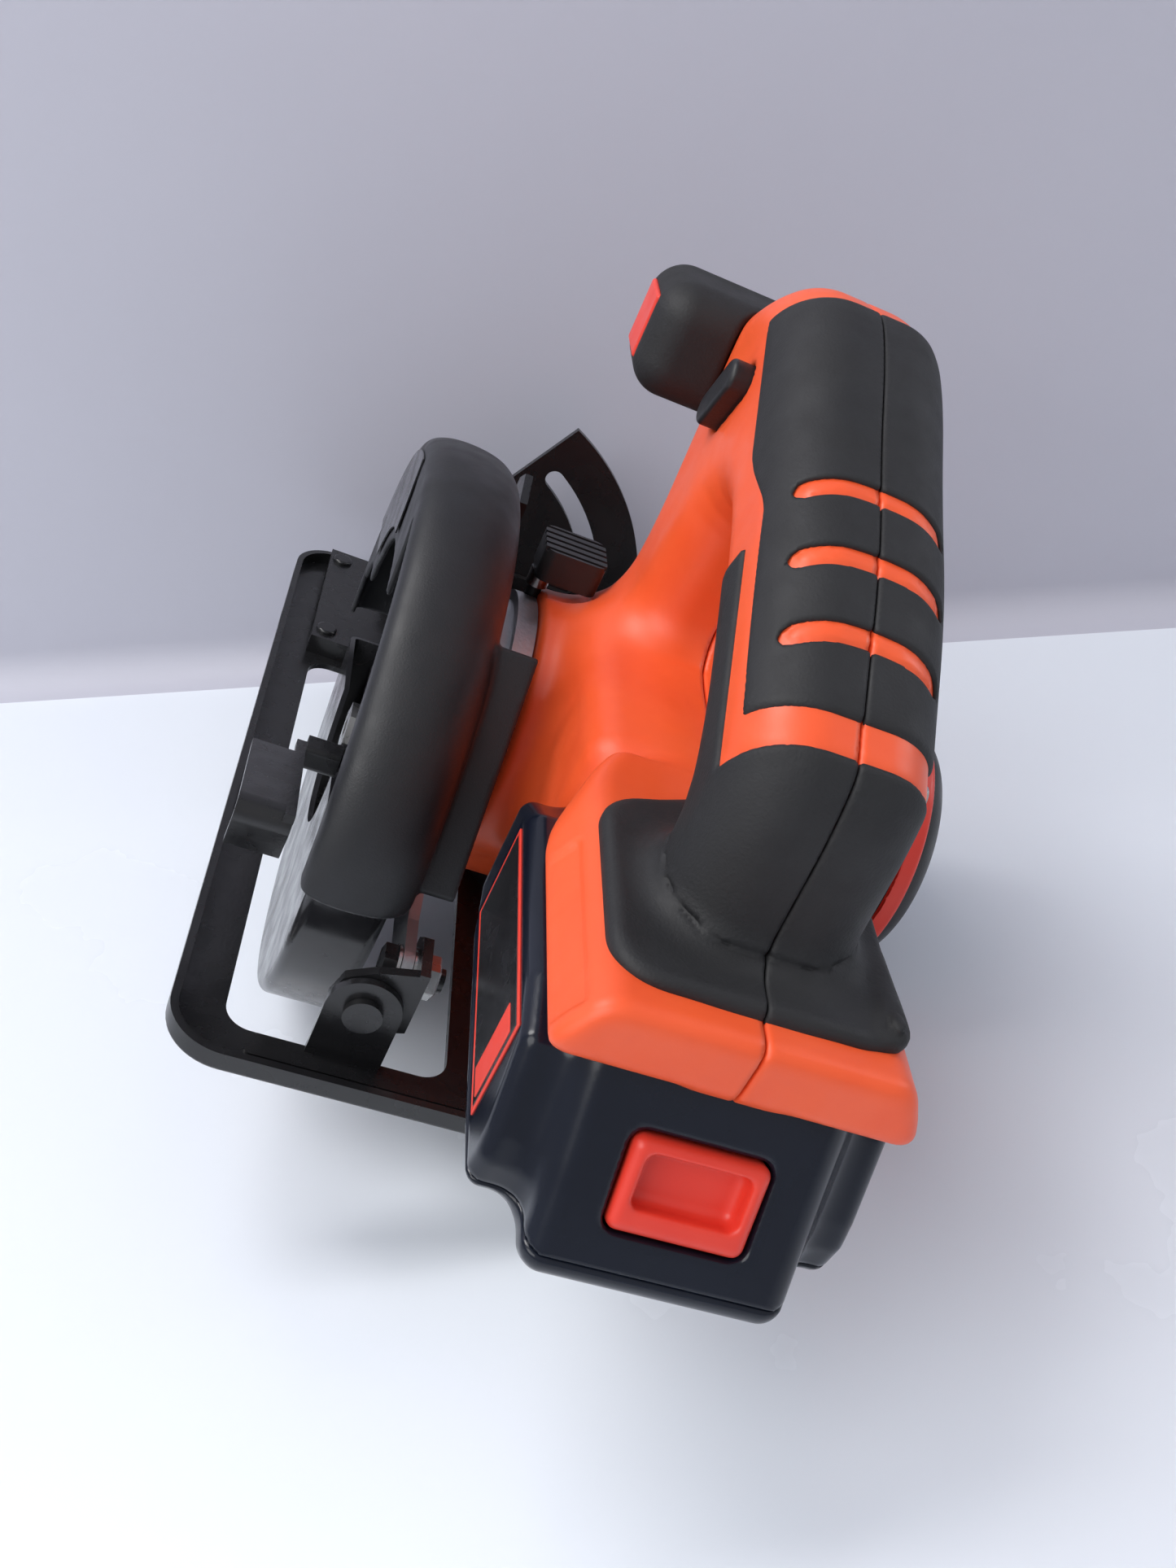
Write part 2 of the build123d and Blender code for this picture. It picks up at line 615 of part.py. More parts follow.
with BuildPart() as armature:
    with BuildSketch(yz(4)):
        with Locations(MOTOR_CENTRE):
            Circle(15.8)
            with PolarLocations(13.6, 12):
                Rectangle(4.6, 2.0, mode=Mode.SUBTRACT)
            Circle(2.5, mode=Mode.SUBTRACT)
    extrude(amount=30)
save("armature", armature.part)
tube("commutator", MOTOR_CENTRE, 45, 55, 8.0, SHAFT_R)
tube("motor_shaft", MOTOR_CENTRE, -45, 61.5, SHAFT_R - RUNNING, 0, 0.3)

with BuildPart() as fan:
    with BuildSketch(yz(-17)):
        with Locations(MOTOR_CENTRE):
            Circle(21)
            Circle(2.5, mode=Mode.SUBTRACT)
    extrude(amount=1.6)
    with BuildSketch(yz(-17)):
        with Locations(MOTOR_CENTRE):
            with PolarLocations(14, 11):
                Rectangle(12, 1.2)
            Circle(6)
            Circle(2.5, mode=Mode.SUBTRACT)
    extrude(amount=8)
save("fan", fan.part)

with BuildPart() as motor_end_bell:
    with BuildSketch(yz(44)):
        with Locations(MOTOR_CENTRE):
            Circle(22.5)
            Circle(20.5, mode=Mode.SUBTRACT)
    extrude(amount=13)
    with BuildSketch(yz(57)):
        with Locations(MOTOR_CENTRE):
            Circle(22.5)
            Circle(8.02, mode=Mode.SUBTRACT)
    extrude(amount=4.5)
save("motor_end_bell", motor_end_bell.part)

with BuildPart() as brushes:
    for side in (-1, 1):
        with BuildSketch(yz(47)):
            with Locations((MOTOR_Y + side * 14.0, MOTOR_Z)):
                Rectangle(11, 5)
        extrude(amount=6)
    with BuildSketch(yz(47)):
        with Locations(MOTOR_CENTRE):
            Circle(8.2)
    extrude(amount=6, mode=Mode.SUBTRACT)
save("brushes", brushes.part)

with BuildPart() as motor_bearings:
    for x0 in (COVER_X, 57.0):
        with BuildSketch(yz(x0)):
            with Locations(MOTOR_CENTRE):
                Circle(8.0)
                Circle(2.5, mode=Mode.SUBTRACT)
        extrude(amount=4.5)
save("motor_bearings", motor_bearings.part)

# ======================= housing =======================

HANDLE = (
    (14, 96), (4, 120), (14, 150), (14, 178), (4, 186), (-12, 196.5), (-28, 197), (-68.5, 179.5),
    (-128, 149.5), (-134.5, 146), (-136, 126), (-142, 104), (-151, 96.5), (-162, 92), (-162, 88),
    (-78, 88), (-40, 70), (14, 70),
)
OPENING = ((-36, 152), (-32, 112), (-73, 94), (-104, 92), (-110, 104), (-112, 117))
GRIP_ZONE = ((-136, 128), (-112, 118), (-36, 152), (-32, 112), (-20, 96), (16, 96), (16, 200), (-136, 200))
BUTTON_CENTRE, BUTTON_LONG, BUTTON_WIDE = (-20.0, 165.0), 22.0, 8.0
BUTTON_TILT = degrees(atan2(0.81, -0.58))
TRIGGER_U, TRIGGER_LONG = 3.0, 22.0
SCREWS_AT = ((2, 172), (-95, 154), (-124, 138), (-14, 110))


def polygon(points, radius=0.0):
    """Flat face through the points, its corners rounded."""
    with BuildSketch(mode=Mode.PRIVATE) as shape:
        with BuildLine():
            Polyline(*points, close=True)
        make_face()
        if radius:
            fillet(shape.vertices(), radius)
    return shape.sketch


def handle_outline(inset=0.0):
    """D-shaped handle across the tool, with its finger opening, shrunk all round by inset."""
    with BuildSketch(mode=Mode.PRIVATE) as shape:
        add(polygon(HANDLE))
        add(polygon(OPENING, 8), mode=Mode.SUBTRACT)
        if inset:
            offset(amount=-inset, kind=Kind.INTERSECTION, mode=Mode.REPLACE)
    return shape.sketch


def button_hole(clearance):
    with Locations(Location((*BUTTON_CENTRE, 0), (0, 0, BUTTON_TILT))):
        SlotOverall(BUTTON_LONG + 2 * clearance, BUTTON_WIDE + 2 * clearance)


def housing_half(side):
    """One half of the clamshell: motor barrel, bridge, battery shoe and the core of the handle."""
    far = BARREL_RIGHT if side > 0 else BARREL_LEFT
    with BuildPart() as half:
        with BuildSketch(yz(0)):
            with Locations(MOTOR_CENTRE):
                Circle(BARREL_R)
        extrude(amount=far)
        with BuildSketch(yz(0)):
            add(handle_outline(SKIN))
        extrude(amount=side * (HALF_HANDLE - SKIN))
        with BuildSketch(yz(0)):
            with Locations((-53.75, 69)):
                Rectangle(47.5, 62)
        extrude(amount=side * HALF_BRIDGE)
        # shoe over the battery, its sides leaning in, with a rail each side
        with BuildSketch(xz(-90)):
            with BuildLine():
                Polyline((0, 88), (side * HALF_BATTERY, 88), (side * 30, 100), (0, 100), close=True)
            make_face()
            with Locations((side * 35, 84.3)):
                Rectangle(3, 7.6)
        extrude(amount=60)
        with BuildSketch(xz(-150)):
            with BuildLine():
                Polyline((0, 88), (side * HALF_BATTERY, 88), (side * 30, 100), (0, 100), close=True)
            make_face()
        extrude(amount=12)
        if side < 0:
            with BuildSketch(yz(-15)):
                with Locations(ARBOR_CENTRE):
                    Circle(27.6)
            extrude(amount=BARREL_LEFT + 15)
        # cavities
        with BuildSketch(yz(0)):
            with Locations(MOTOR_CENTRE):
                Circle(BARREL_BORE)
        extrude(amount=far, mode=Mode.SUBTRACT)
        with BuildSketch(yz(0)):
            add(handle_outline(SKIN + SHELL))
            with Locations((-52, 69)):
                Rectangle(44, 57.4)
        extrude(amount=side * (HALF_HANDLE - SKIN - SHELL), mode=Mode.SUBTRACT)
        with BuildSketch(yz(0)):
            with Locations((-52, 69)):
                Rectangle(44, 57.4)
        extrude(amount=side * (HALF_BRIDGE - SHELL), mode=Mode.SUBTRACT)
        with BuildSketch(xz(-92)):
            with Locations((side * 13, 94.3)):
                Rectangle(26, 7.4)
        extrude(amount=66, mode=Mode.SUBTRACT)
        if side < 0:
            with BuildSketch(yz(-17)):
                with Locations(ARBOR_CENTRE):
                    Circle(25.3)
            extrude(amount=BARREL_LEFT + 17, mode=Mode.SUBTRACT)
            # nothing of the shell inside the spindle's and the lock's way
            with BuildSketch(Plane.XY.offset(75)):
                with Locations((-38, LOCK_PIN[1])):
                    Rectangle(9, 6)
            extrude(amount=19, mode=Mode.SUBTRACT)
        # ribs that hold the motor can
        for x in ((4, 36) if side > 0 else (-5,)):
            with BuildSketch(yz(x)):
                with Locations(MOTOR_CENTRE):
                    Circle(BARREL_BORE + 0.4)
                    Circle(CAN_R + RUNNING, mode=Mode.SUBTRACT)
            extrude(amount=2)
        # openings: lock-off button, trigger, terminals
        with BuildSketch(yz(0)):
            button_hole(GAP)
        extrude(amount=side * HALF_HANDLE, mode=Mode.SUBTRACT)
        with BuildSketch(grip_plane()):
            with Locations((TRIGGER_U, GRIP_THICK - 2)):
                Rectangle(TRIGGER_LONG + 1, 14)
        extrude(amount=side * 7.4, mode=Mode.SUBTRACT)
        with BuildSketch(xz(-70)):
            with Locations((side * 6.1, 72.5)):
                Rectangle(12.2, 25.4)
        extrude(amount=8, mode=Mode.SUBTRACT)
        with BuildSketch(yz(0)):
            with Locations(SCREWS_AT):
                Circle(1.55)
        extrude(amount=side * HALF_BRIDGE, mode=Mode.SUBTRACT)
    return half.part


save("housing_left", housing_half(-1))
save("housing_right", housing_half(1))


def overmould(side):
    """Rubber sleeve over the front, top and rear of the handle loop."""
    with BuildPart() as skin:
        with BuildSketch(yz(0)):
            add(handle_outline())
            add(polygon(GRIP_ZONE), mode=Mode.INTERSECT)
        extrude(amount=side * HALF_HANDLE)
        with BuildSketch(yz(0)):
            add(handle_outline(SKIN))
        extrude(amount=side * (HALF_HANDLE - SKIN), mode=Mode.SUBTRACT)
        with BuildSketch(yz(0)):
            button_hole(GAP)
            with Locations(MOTOR_CENTRE):
                Circle(BARREL_R + RUNNING)
            with Locations(SCREWS_AT):
                Circle(2.6)
        extrude(amount=side * HALF_HANDLE, mode=Mode.SUBTRACT)
        with BuildSketch(grip_plane()):
            with Locations((TRIGGER_U, GRIP_THICK - 2)):
                Rectangle(TRIGGER_LONG + 1, 14)
        extrude(amount=side * 7.4, mode=Mode.SUBTRACT)
    return skin.part


save("overmould_left", overmould(-1))
save("overmould_right", overmould(1))

# stub handle on the left of the handle's front, for the other hand
with BuildPart() as aux_grip:
    with BuildSketch(yz(-39)):
        with Locations((16, 166)):
            RectangleRounded(32, 32, 11)
    extrude(amount=34)
    fillet(aux_grip.faces().sort_by(Axis.X)[0].outer_wire().edges(), 3)
    with BuildSketch(yz(-HALF_HANDLE - 0.02)):
        with Locations((-10, 166)):
            Rectangle(48.1, 60)
    extrude(amount=30, mode=Mode.SUBTRACT)
save("aux_grip", aux_grip.part)

with BuildPart() as aux_inlay:
    with BuildSketch(yz(-40)):
        with Locations((16, 166)):
            RectangleRounded(21, 21, 7)
    extrude(amount=1)
save("aux_grip_inlay", aux_inlay.part)

with BuildPart() as end_cap:
    with BuildSketch(radial(90, MOTOR_Y, MOTOR_Z)):
        with BuildLine():
            rim, shoulder, crown = (BARREL_RIGHT, 36.0), (73.0, 36.0), (END_CAP_RIGHT, 27.0)
            Polyline((BARREL_RIGHT, 33.4), rim, shoulder)
            ThreePointArc(shoulder, (81.5, 33.5), crown)
            Polyline(crown, (END_CAP_RIGHT, 0), (END_CAP_RIGHT - 2.4, 0), (END_CAP_RIGHT - 2.4, 26))
            ThreePointArc((END_CAP_RIGHT - 2.4, 26), (79.5, 31.5), (73.0, 33.4))
            Line((73.0, 33.4), (BARREL_RIGHT, 33.4))
        make_face()
    revolve(axis=motor_axis())
    with BuildSketch(yz(END_CAP_RIGHT - 4)):
        with Locations(MOTOR_CENTRE):
            with PolarLocations(18, 12):
                SlotOverall(13, 2.4)
    extrude(amount=6, mode=Mode.SUBTRACT)
save("end_cap", end_cap.part)
tube("end_cap_ring", MOTOR_CENTRE, 66.5, 72.5, 38.0, 36.05, 0.8)

with BuildPart() as switch_module:
    with BuildSketch(grip_plane(-8)):
        with Locations((6, 12.5)):
            Rectangle(30, 13)
    extrude(amount=16)
    with BuildSketch(grip_plane(-2.5)):
        with Locations((TRIGGER_U, 19.3)):
            Rectangle(6, 1.2)
    extrude(amount=5)
save("switch_module", switch_module.part)

with BuildPart() as terminal_block:
    with BuildSketch(xz(-72)):
        with Locations((0, 72.5)):
            Rectangle(24, 25)
    extrude(amount=5.4)
    with BuildSketch(xz(-77.4)):
        with Locations((-7, 75), (0, 75), (7, 75)):
            Rectangle(0.8, 10)
    extrude(amount=8.6)
save("terminal_block", terminal_block.part)

with BuildPart() as housing_screws:
    with BuildSketch(yz(HALF_HANDLE - SKIN)):
        with Locations(SCREWS_AT):
            Circle(2.5)
    extrude(amount=1.4)
    with BuildSketch(yz(-14)):
        with Locations(SCREWS_AT):
            Circle(1.5)
    extrude(amount=HALF_HANDLE - SKIN + 14)
save("housing_screws", housing_screws.part)

# ---- depth lock ----
with BuildPart() as depth_lock_bolt:
    with BuildSketch(yz(DEPTH_PLATE_X - GAP - 2.8 - 3.4)):
        with Locations(LOCK_BOLT):
            RegularPolygon(6, 6)
    extrude(amount=3.4)
    with BuildSketch(yz(DEPTH_PLATE_X - GAP - 2.8)):
        with Locations(LOCK_BOLT):
            Circle(BOLT_R)
    extrude(amount=20.6)
save("depth_lock_bolt", depth_lock_bolt.part)

with BuildPart() as depth_lever:
    with BuildSketch(yz(-38.6)):
        with Locations(LOCK_BOLT):
            Circle(7)
        with BuildLine():
            Polyline((87.5, 31.5), (92.5, 18.5), (124, 33.5), (121, 40.5), close=True)
        make_face()
        with Locations((122, 37)):
            Circle(4)
        with Locations(LOCK_BOLT):
            Circle(BOLT_R + RUNNING, mode=Mode.SUBTRACT)
    extrude(amount=10.6)
    fillet(depth_lever.faces().sort_by(Axis.X)[-1].outer_wire().edges(), 1.2)
save("depth_lever", depth_lever.part)

# ---- trigger, lock-off button, spindle lock ----
with BuildPart() as trigger:
    with BuildSketch(grip_plane(-7)):
        with BuildLine():
            Polyline((-8, 26), (14, 26), (14, 44), (4, 46.5), (-5, 50), (-8, 47), close=True)
        make_face()
    extrude(amount=14)
    fillet(trigger.edges().filter_by(Axis.X), 1.2)
save("trigger", trigger.part)

with BuildPart() as lock_off:
    with BuildSketch(yz(-24.5)):
        button_hole(0)
    extrude(amount=49)
    fillet(lock_off.faces().filter_by(Axis.X).edges(), 1.2)
save("lock_off_button", lock_off.part)

LOCK_BLOCK_Z, LOCK_BLOCK_H, LOCK_BLOCK_X = 97.0, 9.0, -33.5
with BuildPart() as spindle_lock:
    with BuildSketch(Plane.XY.offset(LOCK_BLOCK_Z)):
        with Locations((LOCK_BLOCK_X, LOCK_PIN[1])):
            RectangleRounded(17, 16, 3)
    extrude(amount=LOCK_BLOCK_H)
    with BuildSketch(Plane.XY.offset(LOCK_BLOCK_Z + LOCK_BLOCK_H)):
        with Locations((LOCK_BLOCK_X, LOCK_PIN[1])):
            with GridLocations(0, 3.2, 1, 5):
                Rectangle(18, 1.2)
    extrude(amount=-1, mode=Mode.SUBTRACT)
    with BuildSketch(Plane.XY.offset(LOCK_PIN_Z)):
        with Locations(LOCK_PIN):
            Circle(2)
    extrude(amount=LOCK_BLOCK_Z - LOCK_PIN_Z)
save("spindle_lock_button", spindle_lock.part)

with BuildPart() as lock_spring:
    with BuildSketch(Plane.XY.offset(92.2)):
        with Locations(LOCK_PIN):
            Circle(3.0)
            Circle(2.2, mode=Mode.SUBTRACT)
    extrude(amount=LOCK_BLOCK_Z - 92.4)
save("spindle_lock_spring", lock_spring.part)

# ======================= battery =======================


CORE_PROFILE = (
    (BATTERY_FRONT, BATTERY_BOTTOM), (BATTERY_FRONT, BATTERY_TOP), (-162.5, BATTERY_TOP),
    (BATTERY_REAR, 49), (BATTERY_REAR + 2.5, BATTERY_BOTTOM),
)
WING_PROFILE = ((BATTERY_FRONT, 48), (BATTERY_FRONT, 86), (-156, 86), (-167, 62), (-167, 48))
BUTTON_PLANE = Plane(origin=(0, -171.1, 68.3), x_dir=(1, 0, 0), z_dir=(0, -0.908, 0.418))


def battery_case(upper):
    """Pack case: a core under the handle with a wing each side, cut at the seam."""
    with BuildPart() as case:
        with BuildSketch(yz(-HALF_CORE)):
            add(polygon(CORE_PROFILE))
        extrude(amount=2 * HALF_CORE)
        with BuildSketch(yz(-HALF_BATTERY)):
            add(polygon(WING_PROFILE))
        extrude(amount=2 * HALF_BATTERY)
        # room for the cells, then the rail grooves, terminal slots and latch recess
        with BuildSketch(xz(-80.5)):
            with Locations((0, 66.2)):
                Rectangle(2 * 32.7, 37.4)
        extrude(amount=76, mode=Mode.SUBTRACT)
        with BuildSketch(xz(BATTERY_FRONT)):
            for side in (-1, 1):
                with Locations((side * 35, 84)):
                    Rectangle(3.6, 8)
        extrude(amount=76, mode=Mode.SUBTRACT)
        with BuildSketch(xz(BATTERY_FRONT)):
            with Locations((-7, 75), (0, 75), (7, 75)):
                Rectangle(1.6, 12)
        extrude(amount=4, mode=Mode.SUBTRACT)
        with BuildSketch(BUTTON_PLANE.offset(1)):
            RectangleRounded(29, 20, 3.5)
        extrude(amount=-10, mode=Mode.SUBTRACT)
        with BuildSketch(Plane.XY.offset(BATTERY_SEAM)):
            with Locations((0, -130)):
                Rectangle(120, 140)
        extrude(amount=-60 if upper else 60, mode=Mode.SUBTRACT)
    return case.part


save("battery_upper_case", battery_case(True))
save("battery_lower_case", battery_case(False))

with BuildPart() as battery_cells:
    with BuildSketch(yz(-CELL_LONG / 2)):
        with Locations((-90, 59.5), (-109, 59.5), (-128, 59.5), (-99.5, 75.6), (-118.5, 75.6)):
            Circle(CELL_R)
    extrude(amount=CELL_LONG)
save("battery_cells", battery_cells.part)

with BuildPart() as battery_contacts:
    with BuildSketch(xz(-87.6)):
        with Locations((0, 75)):
            Rectangle(24, 11)
    extrude(amount=1.2)
    with BuildSketch(xz(-83)):
        for x in (-7, 0, 7):
            with Locations((x - 0.85, 75), (x + 0.85, 75)):
                Rectangle(0.5, 8)
    extrude(amount=4.7)
save("battery_contacts", battery_contacts.part)

with BuildPart() as battery_labels:
    for x, depth in ((-HALF_BATTERY, -0.3), (HALF_BATTERY, 0.3)):
        with BuildSketch(yz(x)):
            with Locations((-120, 67)):
                RectangleRounded(62, 26, 3)
        extrude(amount=depth)
save("battery_labels", battery_labels.part)

with BuildPart() as battery_latch:
    with BuildSketch(BUTTON_PLANE.offset(0.6)):
        RectangleRounded(28, 19, 3)
    extrude(amount=-5)
    fillet(battery_latch.faces().sort_by(Axis.Y)[0].outer_wire().edges(), 1.2)
save("battery_latch_button", battery_latch.part)
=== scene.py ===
import json
from math import cos, pi, radians, sin

import bpy
import numpy as np
from mathutils import Matrix, Vector


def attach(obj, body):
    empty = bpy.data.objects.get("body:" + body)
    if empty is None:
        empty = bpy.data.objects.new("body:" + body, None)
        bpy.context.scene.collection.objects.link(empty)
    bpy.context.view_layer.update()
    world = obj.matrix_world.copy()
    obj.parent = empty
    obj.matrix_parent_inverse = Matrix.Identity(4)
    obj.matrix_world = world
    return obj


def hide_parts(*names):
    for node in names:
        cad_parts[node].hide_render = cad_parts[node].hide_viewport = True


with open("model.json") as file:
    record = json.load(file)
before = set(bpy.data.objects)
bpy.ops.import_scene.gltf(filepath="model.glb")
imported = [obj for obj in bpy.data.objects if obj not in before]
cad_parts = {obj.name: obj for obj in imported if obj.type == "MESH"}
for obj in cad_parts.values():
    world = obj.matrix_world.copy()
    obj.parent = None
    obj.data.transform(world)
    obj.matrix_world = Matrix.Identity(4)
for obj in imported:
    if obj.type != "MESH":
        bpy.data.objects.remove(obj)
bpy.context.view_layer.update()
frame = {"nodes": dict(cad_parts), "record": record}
NODES = frame["nodes"]
MM = 0.001

# Shapes are signed distance fields in millimetres, in the tool's own frame, meshed by surface nets.

# ---- places shared with the CAD model, mm ----
ARBOR_Z = 33.0
MOTOR_Y, MOTOR_Z = -8.0, 56.896
BARREL_R, BARREL_LEFT, BARREL_RIGHT = 37.0, -38.0, 62.0
HALF_HANDLE = 20.5
HALF_BATTERY, HALF_CORE = 38.5, 27.0
GRIP_ORIGIN, GRIP_BACK, GRIP_DOWN = (-68.5, 179.5), (-0.893, -0.450), (0.450, -0.893)
SEAM = 0.12


# ======================= distance fields =======================

def box(p, centre, half, r=0.0):
    q = np.abs(p - np.array(centre, np.float32)) - (np.array(half, np.float32) - r)
    return np.linalg.norm(np.maximum(q, 0), axis=1) + np.minimum(q.max(1), 0) - r


def join(*fields):
    out = fields[0]
    for f in fields[1:]:
        out = np.minimum(out, f)
    return out


def melt(a, b, k):
    """Union with a fillet of about k."""
    h = np.maximum(k - np.abs(a - b), 0) / k
    return np.minimum(a, b) - h * h * k / 4


def cut(a, b, k=0.01):
    """a without b, the new edge rounded by about k."""
    return -melt(-a, b, k)


def both(a, b, k=0.01):
    return -melt(-a, -b, k)


def disc(p, centre, radius, x0, x1, r=0.0):
    """Round bar along X about a point in the YZ plane, its edges rounded by r."""
    d2 = np.hypot(p[:, 1] - centre[0], p[:, 2] - centre[1]) - (radius - r)
    return slab(d2, p[:, 0], x0, x1, r)


def slab(d2, x, x0, x1, r=0.0):
    """Raises a flat field between two heights, its rim rounded by r. d2 is already shrunk by r."""
    dx = np.abs(x - (x0 + x1) / 2) - ((x1 - x0) / 2 - r)
    return np.hypot(np.maximum(d2, 0), np.maximum(dx, 0)) + np.minimum(np.maximum(d2, dx), 0) - r


def bar(p, a, b, r0, r1=None):
    """Round-ended bar from a to b, tapering from r0 to r1."""
    a, b = np.array(a, np.float32), np.array(b, np.float32)
    t = np.clip((p - a) @ (b - a) / np.dot(b - a, b - a), 0, 1)
    return np.linalg.norm(p - a - t[:, None] * (b - a), axis=1) - (r0 + ((r1 if r1 else r0) - r0) * t)


def rounded(points, rounds=3, share=0.25):
    """A closed outline with its corners cut again and again into curves."""
    pts = np.array(points, float)
    for _ in range(rounds):
        nxt = np.roll(pts, -1, 0)
        pts = np.stack([pts * (1 - share) + nxt * share, pts * share + nxt * (1 - share)], 1).reshape(-1, 2)
    return pts


class Outline:
    """Signed distance to a closed outline, kept on a fine square grid and read back smoothly."""

    def __init__(self, points, rounds=3, share=0.25, margin=40.0, step=0.5):
        pts = rounded(points, rounds, share) if rounds else np.array(points, float)
        self.low = pts.min(0) - margin
        self.step = step
        n = np.ceil((pts.max(0) + margin - self.low) / step).astype(int) + 2
        ys, zs = (self.low[i] + step * np.arange(n[i]) for i in (0, 1))
        gy, gz = np.meshgrid(ys, zs, indexing="ij")
        best, inside = np.full(gy.shape, 1e9), np.zeros(gy.shape, bool)
        for a, b in zip(pts, np.roll(pts, -1, 0)):
            ey, ez = b - a
            wy, wz = gy - a[0], gz - a[1]
            t = np.clip((wy * ey + wz * ez) / (ey * ey + ez * ez + 1e-12), 0, 1)
            best = np.minimum(best, (wy - t * ey) ** 2 + (wz - t * ez) ** 2)
            if ez:
                level = (gz >= min(a[1], b[1])) & (gz < max(a[1], b[1]))
                inside ^= level & (gy < a[0] + (gz - a[1]) * ey / ez)
        self.field = (np.sqrt(best) * np.where(inside, -1, 1)).astype(np.float32)

    def __call__(self, u, v):
        fu = np.clip((u - self.low[0]) / self.step, 0, self.field.shape[0] - 1.001)
        fv = np.clip((v - self.low[1]) / self.step, 0, self.field.shape[1] - 1.001)
        i, j = fu.astype(int), fv.astype(int)
        s, t = fu - i, fv - j
        f = self.field
        return (f[i, j] * (1 - s) * (1 - t) + f[i + 1, j] * s * (1 - t)
                + f[i, j + 1] * (1 - s) * t + f[i + 1, j + 1] * s * t)


def grip_uv(p):
    """Place along the grip, rearward, and down from its top, for points in the tool's frame."""
    y, z = p[:, 1] - GRIP_ORIGIN[0], p[:, 2] - GRIP_ORIGIN[1]
    return y * GRIP_BACK[0] + z * GRIP_BACK[1], y * GRIP_DOWN[0] + z * GRIP_DOWN[1]


# ======================= meshing =======================

def net(field, low, high, step, block=8):
    """Surface net of field's zero level: vertices in mm and quads, from the blocks near the surface."""
    low, high = np.array(low, float), np.array(high, float)
    counts = np.ceil((high - low) / (step * block)).astype(int)
    bi = np.stack(np.meshgrid(*[np.arange(c) for c in counts], indexing="ij"), -1).reshape(-1, 3)
    centres = (low + (bi + 0.5) * block * step).astype(np.float32)
    near = np.abs(field(centres)) < block * step * 1.1
    bi = bi[near]
    local = np.stack(np.meshgrid(*[np.arange(block + 1)] * 3, indexing="ij"), -1).reshape(-1, 3)
    size = counts * block + 1
    cells, verts = [], []
    for part in np.array_split(bi, max(1, len(bi) // 600)):
        if not len(part):
            continue
        ids = part[:, None, :] * block + local[None]
        pts = (low + ids.reshape(-1, 3) * step).astype(np.float32)
        val = field(pts).reshape(-1, block + 1, block + 1, block + 1)
        corners = np.stack([val[:, i:i + block, j:j + block, k:k + block]
                            for i in (0, 1) for j in (0, 1) for k in (0, 1)], -1)
        mixed = (corners.min(-1) < 0) & (corners.max(-1) >= 0)
        which = np.argwhere(mixed)
        if not len(which):
            continue
        c = corners[mixed]
        total, weight = np.zeros((len(c), 3)), np.zeros(len(c))
        for axis in range(3):
            for a in range(8):
                bit = 4 >> axis
                if a & bit:
                    continue
                va, vb = c[:, a], c[:, a | bit]
                hit = (va < 0) != (vb < 0)
                t = np.where(hit, va / np.where(hit, va - vb, 1), 0)
                pos = np.array([a >> 2 & 1, a >> 1 & 1, a & 1], float)[None].repeat(len(c), 0)
                pos[:, axis] += t
                total += pos * hit[:, None]
                weight += hit
        cell = part[which[:, 0]] * block + which[:, 1:]
        inside = [c[:, i:i + 1] < 0 for i in (0, 4, 2, 1)]
        cells.append(np.concatenate([cell, *inside], 1))
        verts.append(low + (cell + total / weight[:, None]) * step)
    cells, verts = np.concatenate(cells), np.concatenate(verts)
    key = (cells[:, 0] * size[1] + cells[:, 1]) * size[2] + cells[:, 2]
    order = np.argsort(key)
    cells, verts, key = cells[order], verts[order], key[order]
    stride = np.array([size[1] * size[2], size[2], 1])
    quads = []
    for axis, others in ((0, (1, 2)), (1, (2, 0)), (2, (0, 1))):
        start, end = cells[:, 3].astype(bool), cells[:, 4 + axis].astype(bool)
        edge = np.nonzero(start != end)[0]
        s0, s1 = stride[others[0]], stride[others[1]]
        keys = np.stack([key[edge], key[edge] - s0, key[edge] - s0 - s1, key[edge] - s1], 1)
        found = np.searchsorted(key, keys)
        found = np.minimum(found, len(key) - 1)
        whole = (key[found] == keys).all(1)
        quad, flip = found[whole], ~start[edge][whole]
        quad[flip] = quad[flip][:, ::-1]
        quads.append(quad)
    for _ in range(2):
        verts = settle(field, verts, step)
    return verts, np.concatenate(quads)


def settle(field, verts, step):
    """Moves vertices onto the zero level along the field's slope."""
    h = 0.05
    p = verts.astype(np.float32)
    d = field(p)
    g = np.stack([field(p + e) - field(p - e) for e in np.eye(3, dtype=np.float32) * h], 1) / (2 * h)
    n2 = np.maximum((g * g).sum(1), 0.2)
    move = (d / n2)[:, None] * g
    length = np.linalg.norm(move, axis=1, keepdims=True)
    return verts - move * np.minimum(1, 0.5 * step / np.maximum(length, 1e-6))


def piece(name, verts, faces, material, body, replaced=()):
    """A mesh object from vertices in mm, riding on a body."""
    mesh = bpy.data.meshes.new(name)
    mesh.from_pydata((np.asarray(verts, float) * MM).tolist(), [], [list(map(int, f)) for f in faces])
    mesh.validate()
    mesh.polygons.foreach_set("use_smooth", [True] * len(mesh.polygons))
    obj = bpy.data.objects.new(name, mesh)
    bpy.context.scene.collection.objects.link(obj)
    mesh.materials.append(material)
    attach(obj, body)
    if replaced:
        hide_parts(*replaced)
    return obj


def solid(name, field, low, high, material, body, slot, replaced=(), step=1.0):
    verts, faces = net(field, low, high, step)
    return piece(name, verts, faces, material, body, replaced)


# ======================= materials =======================

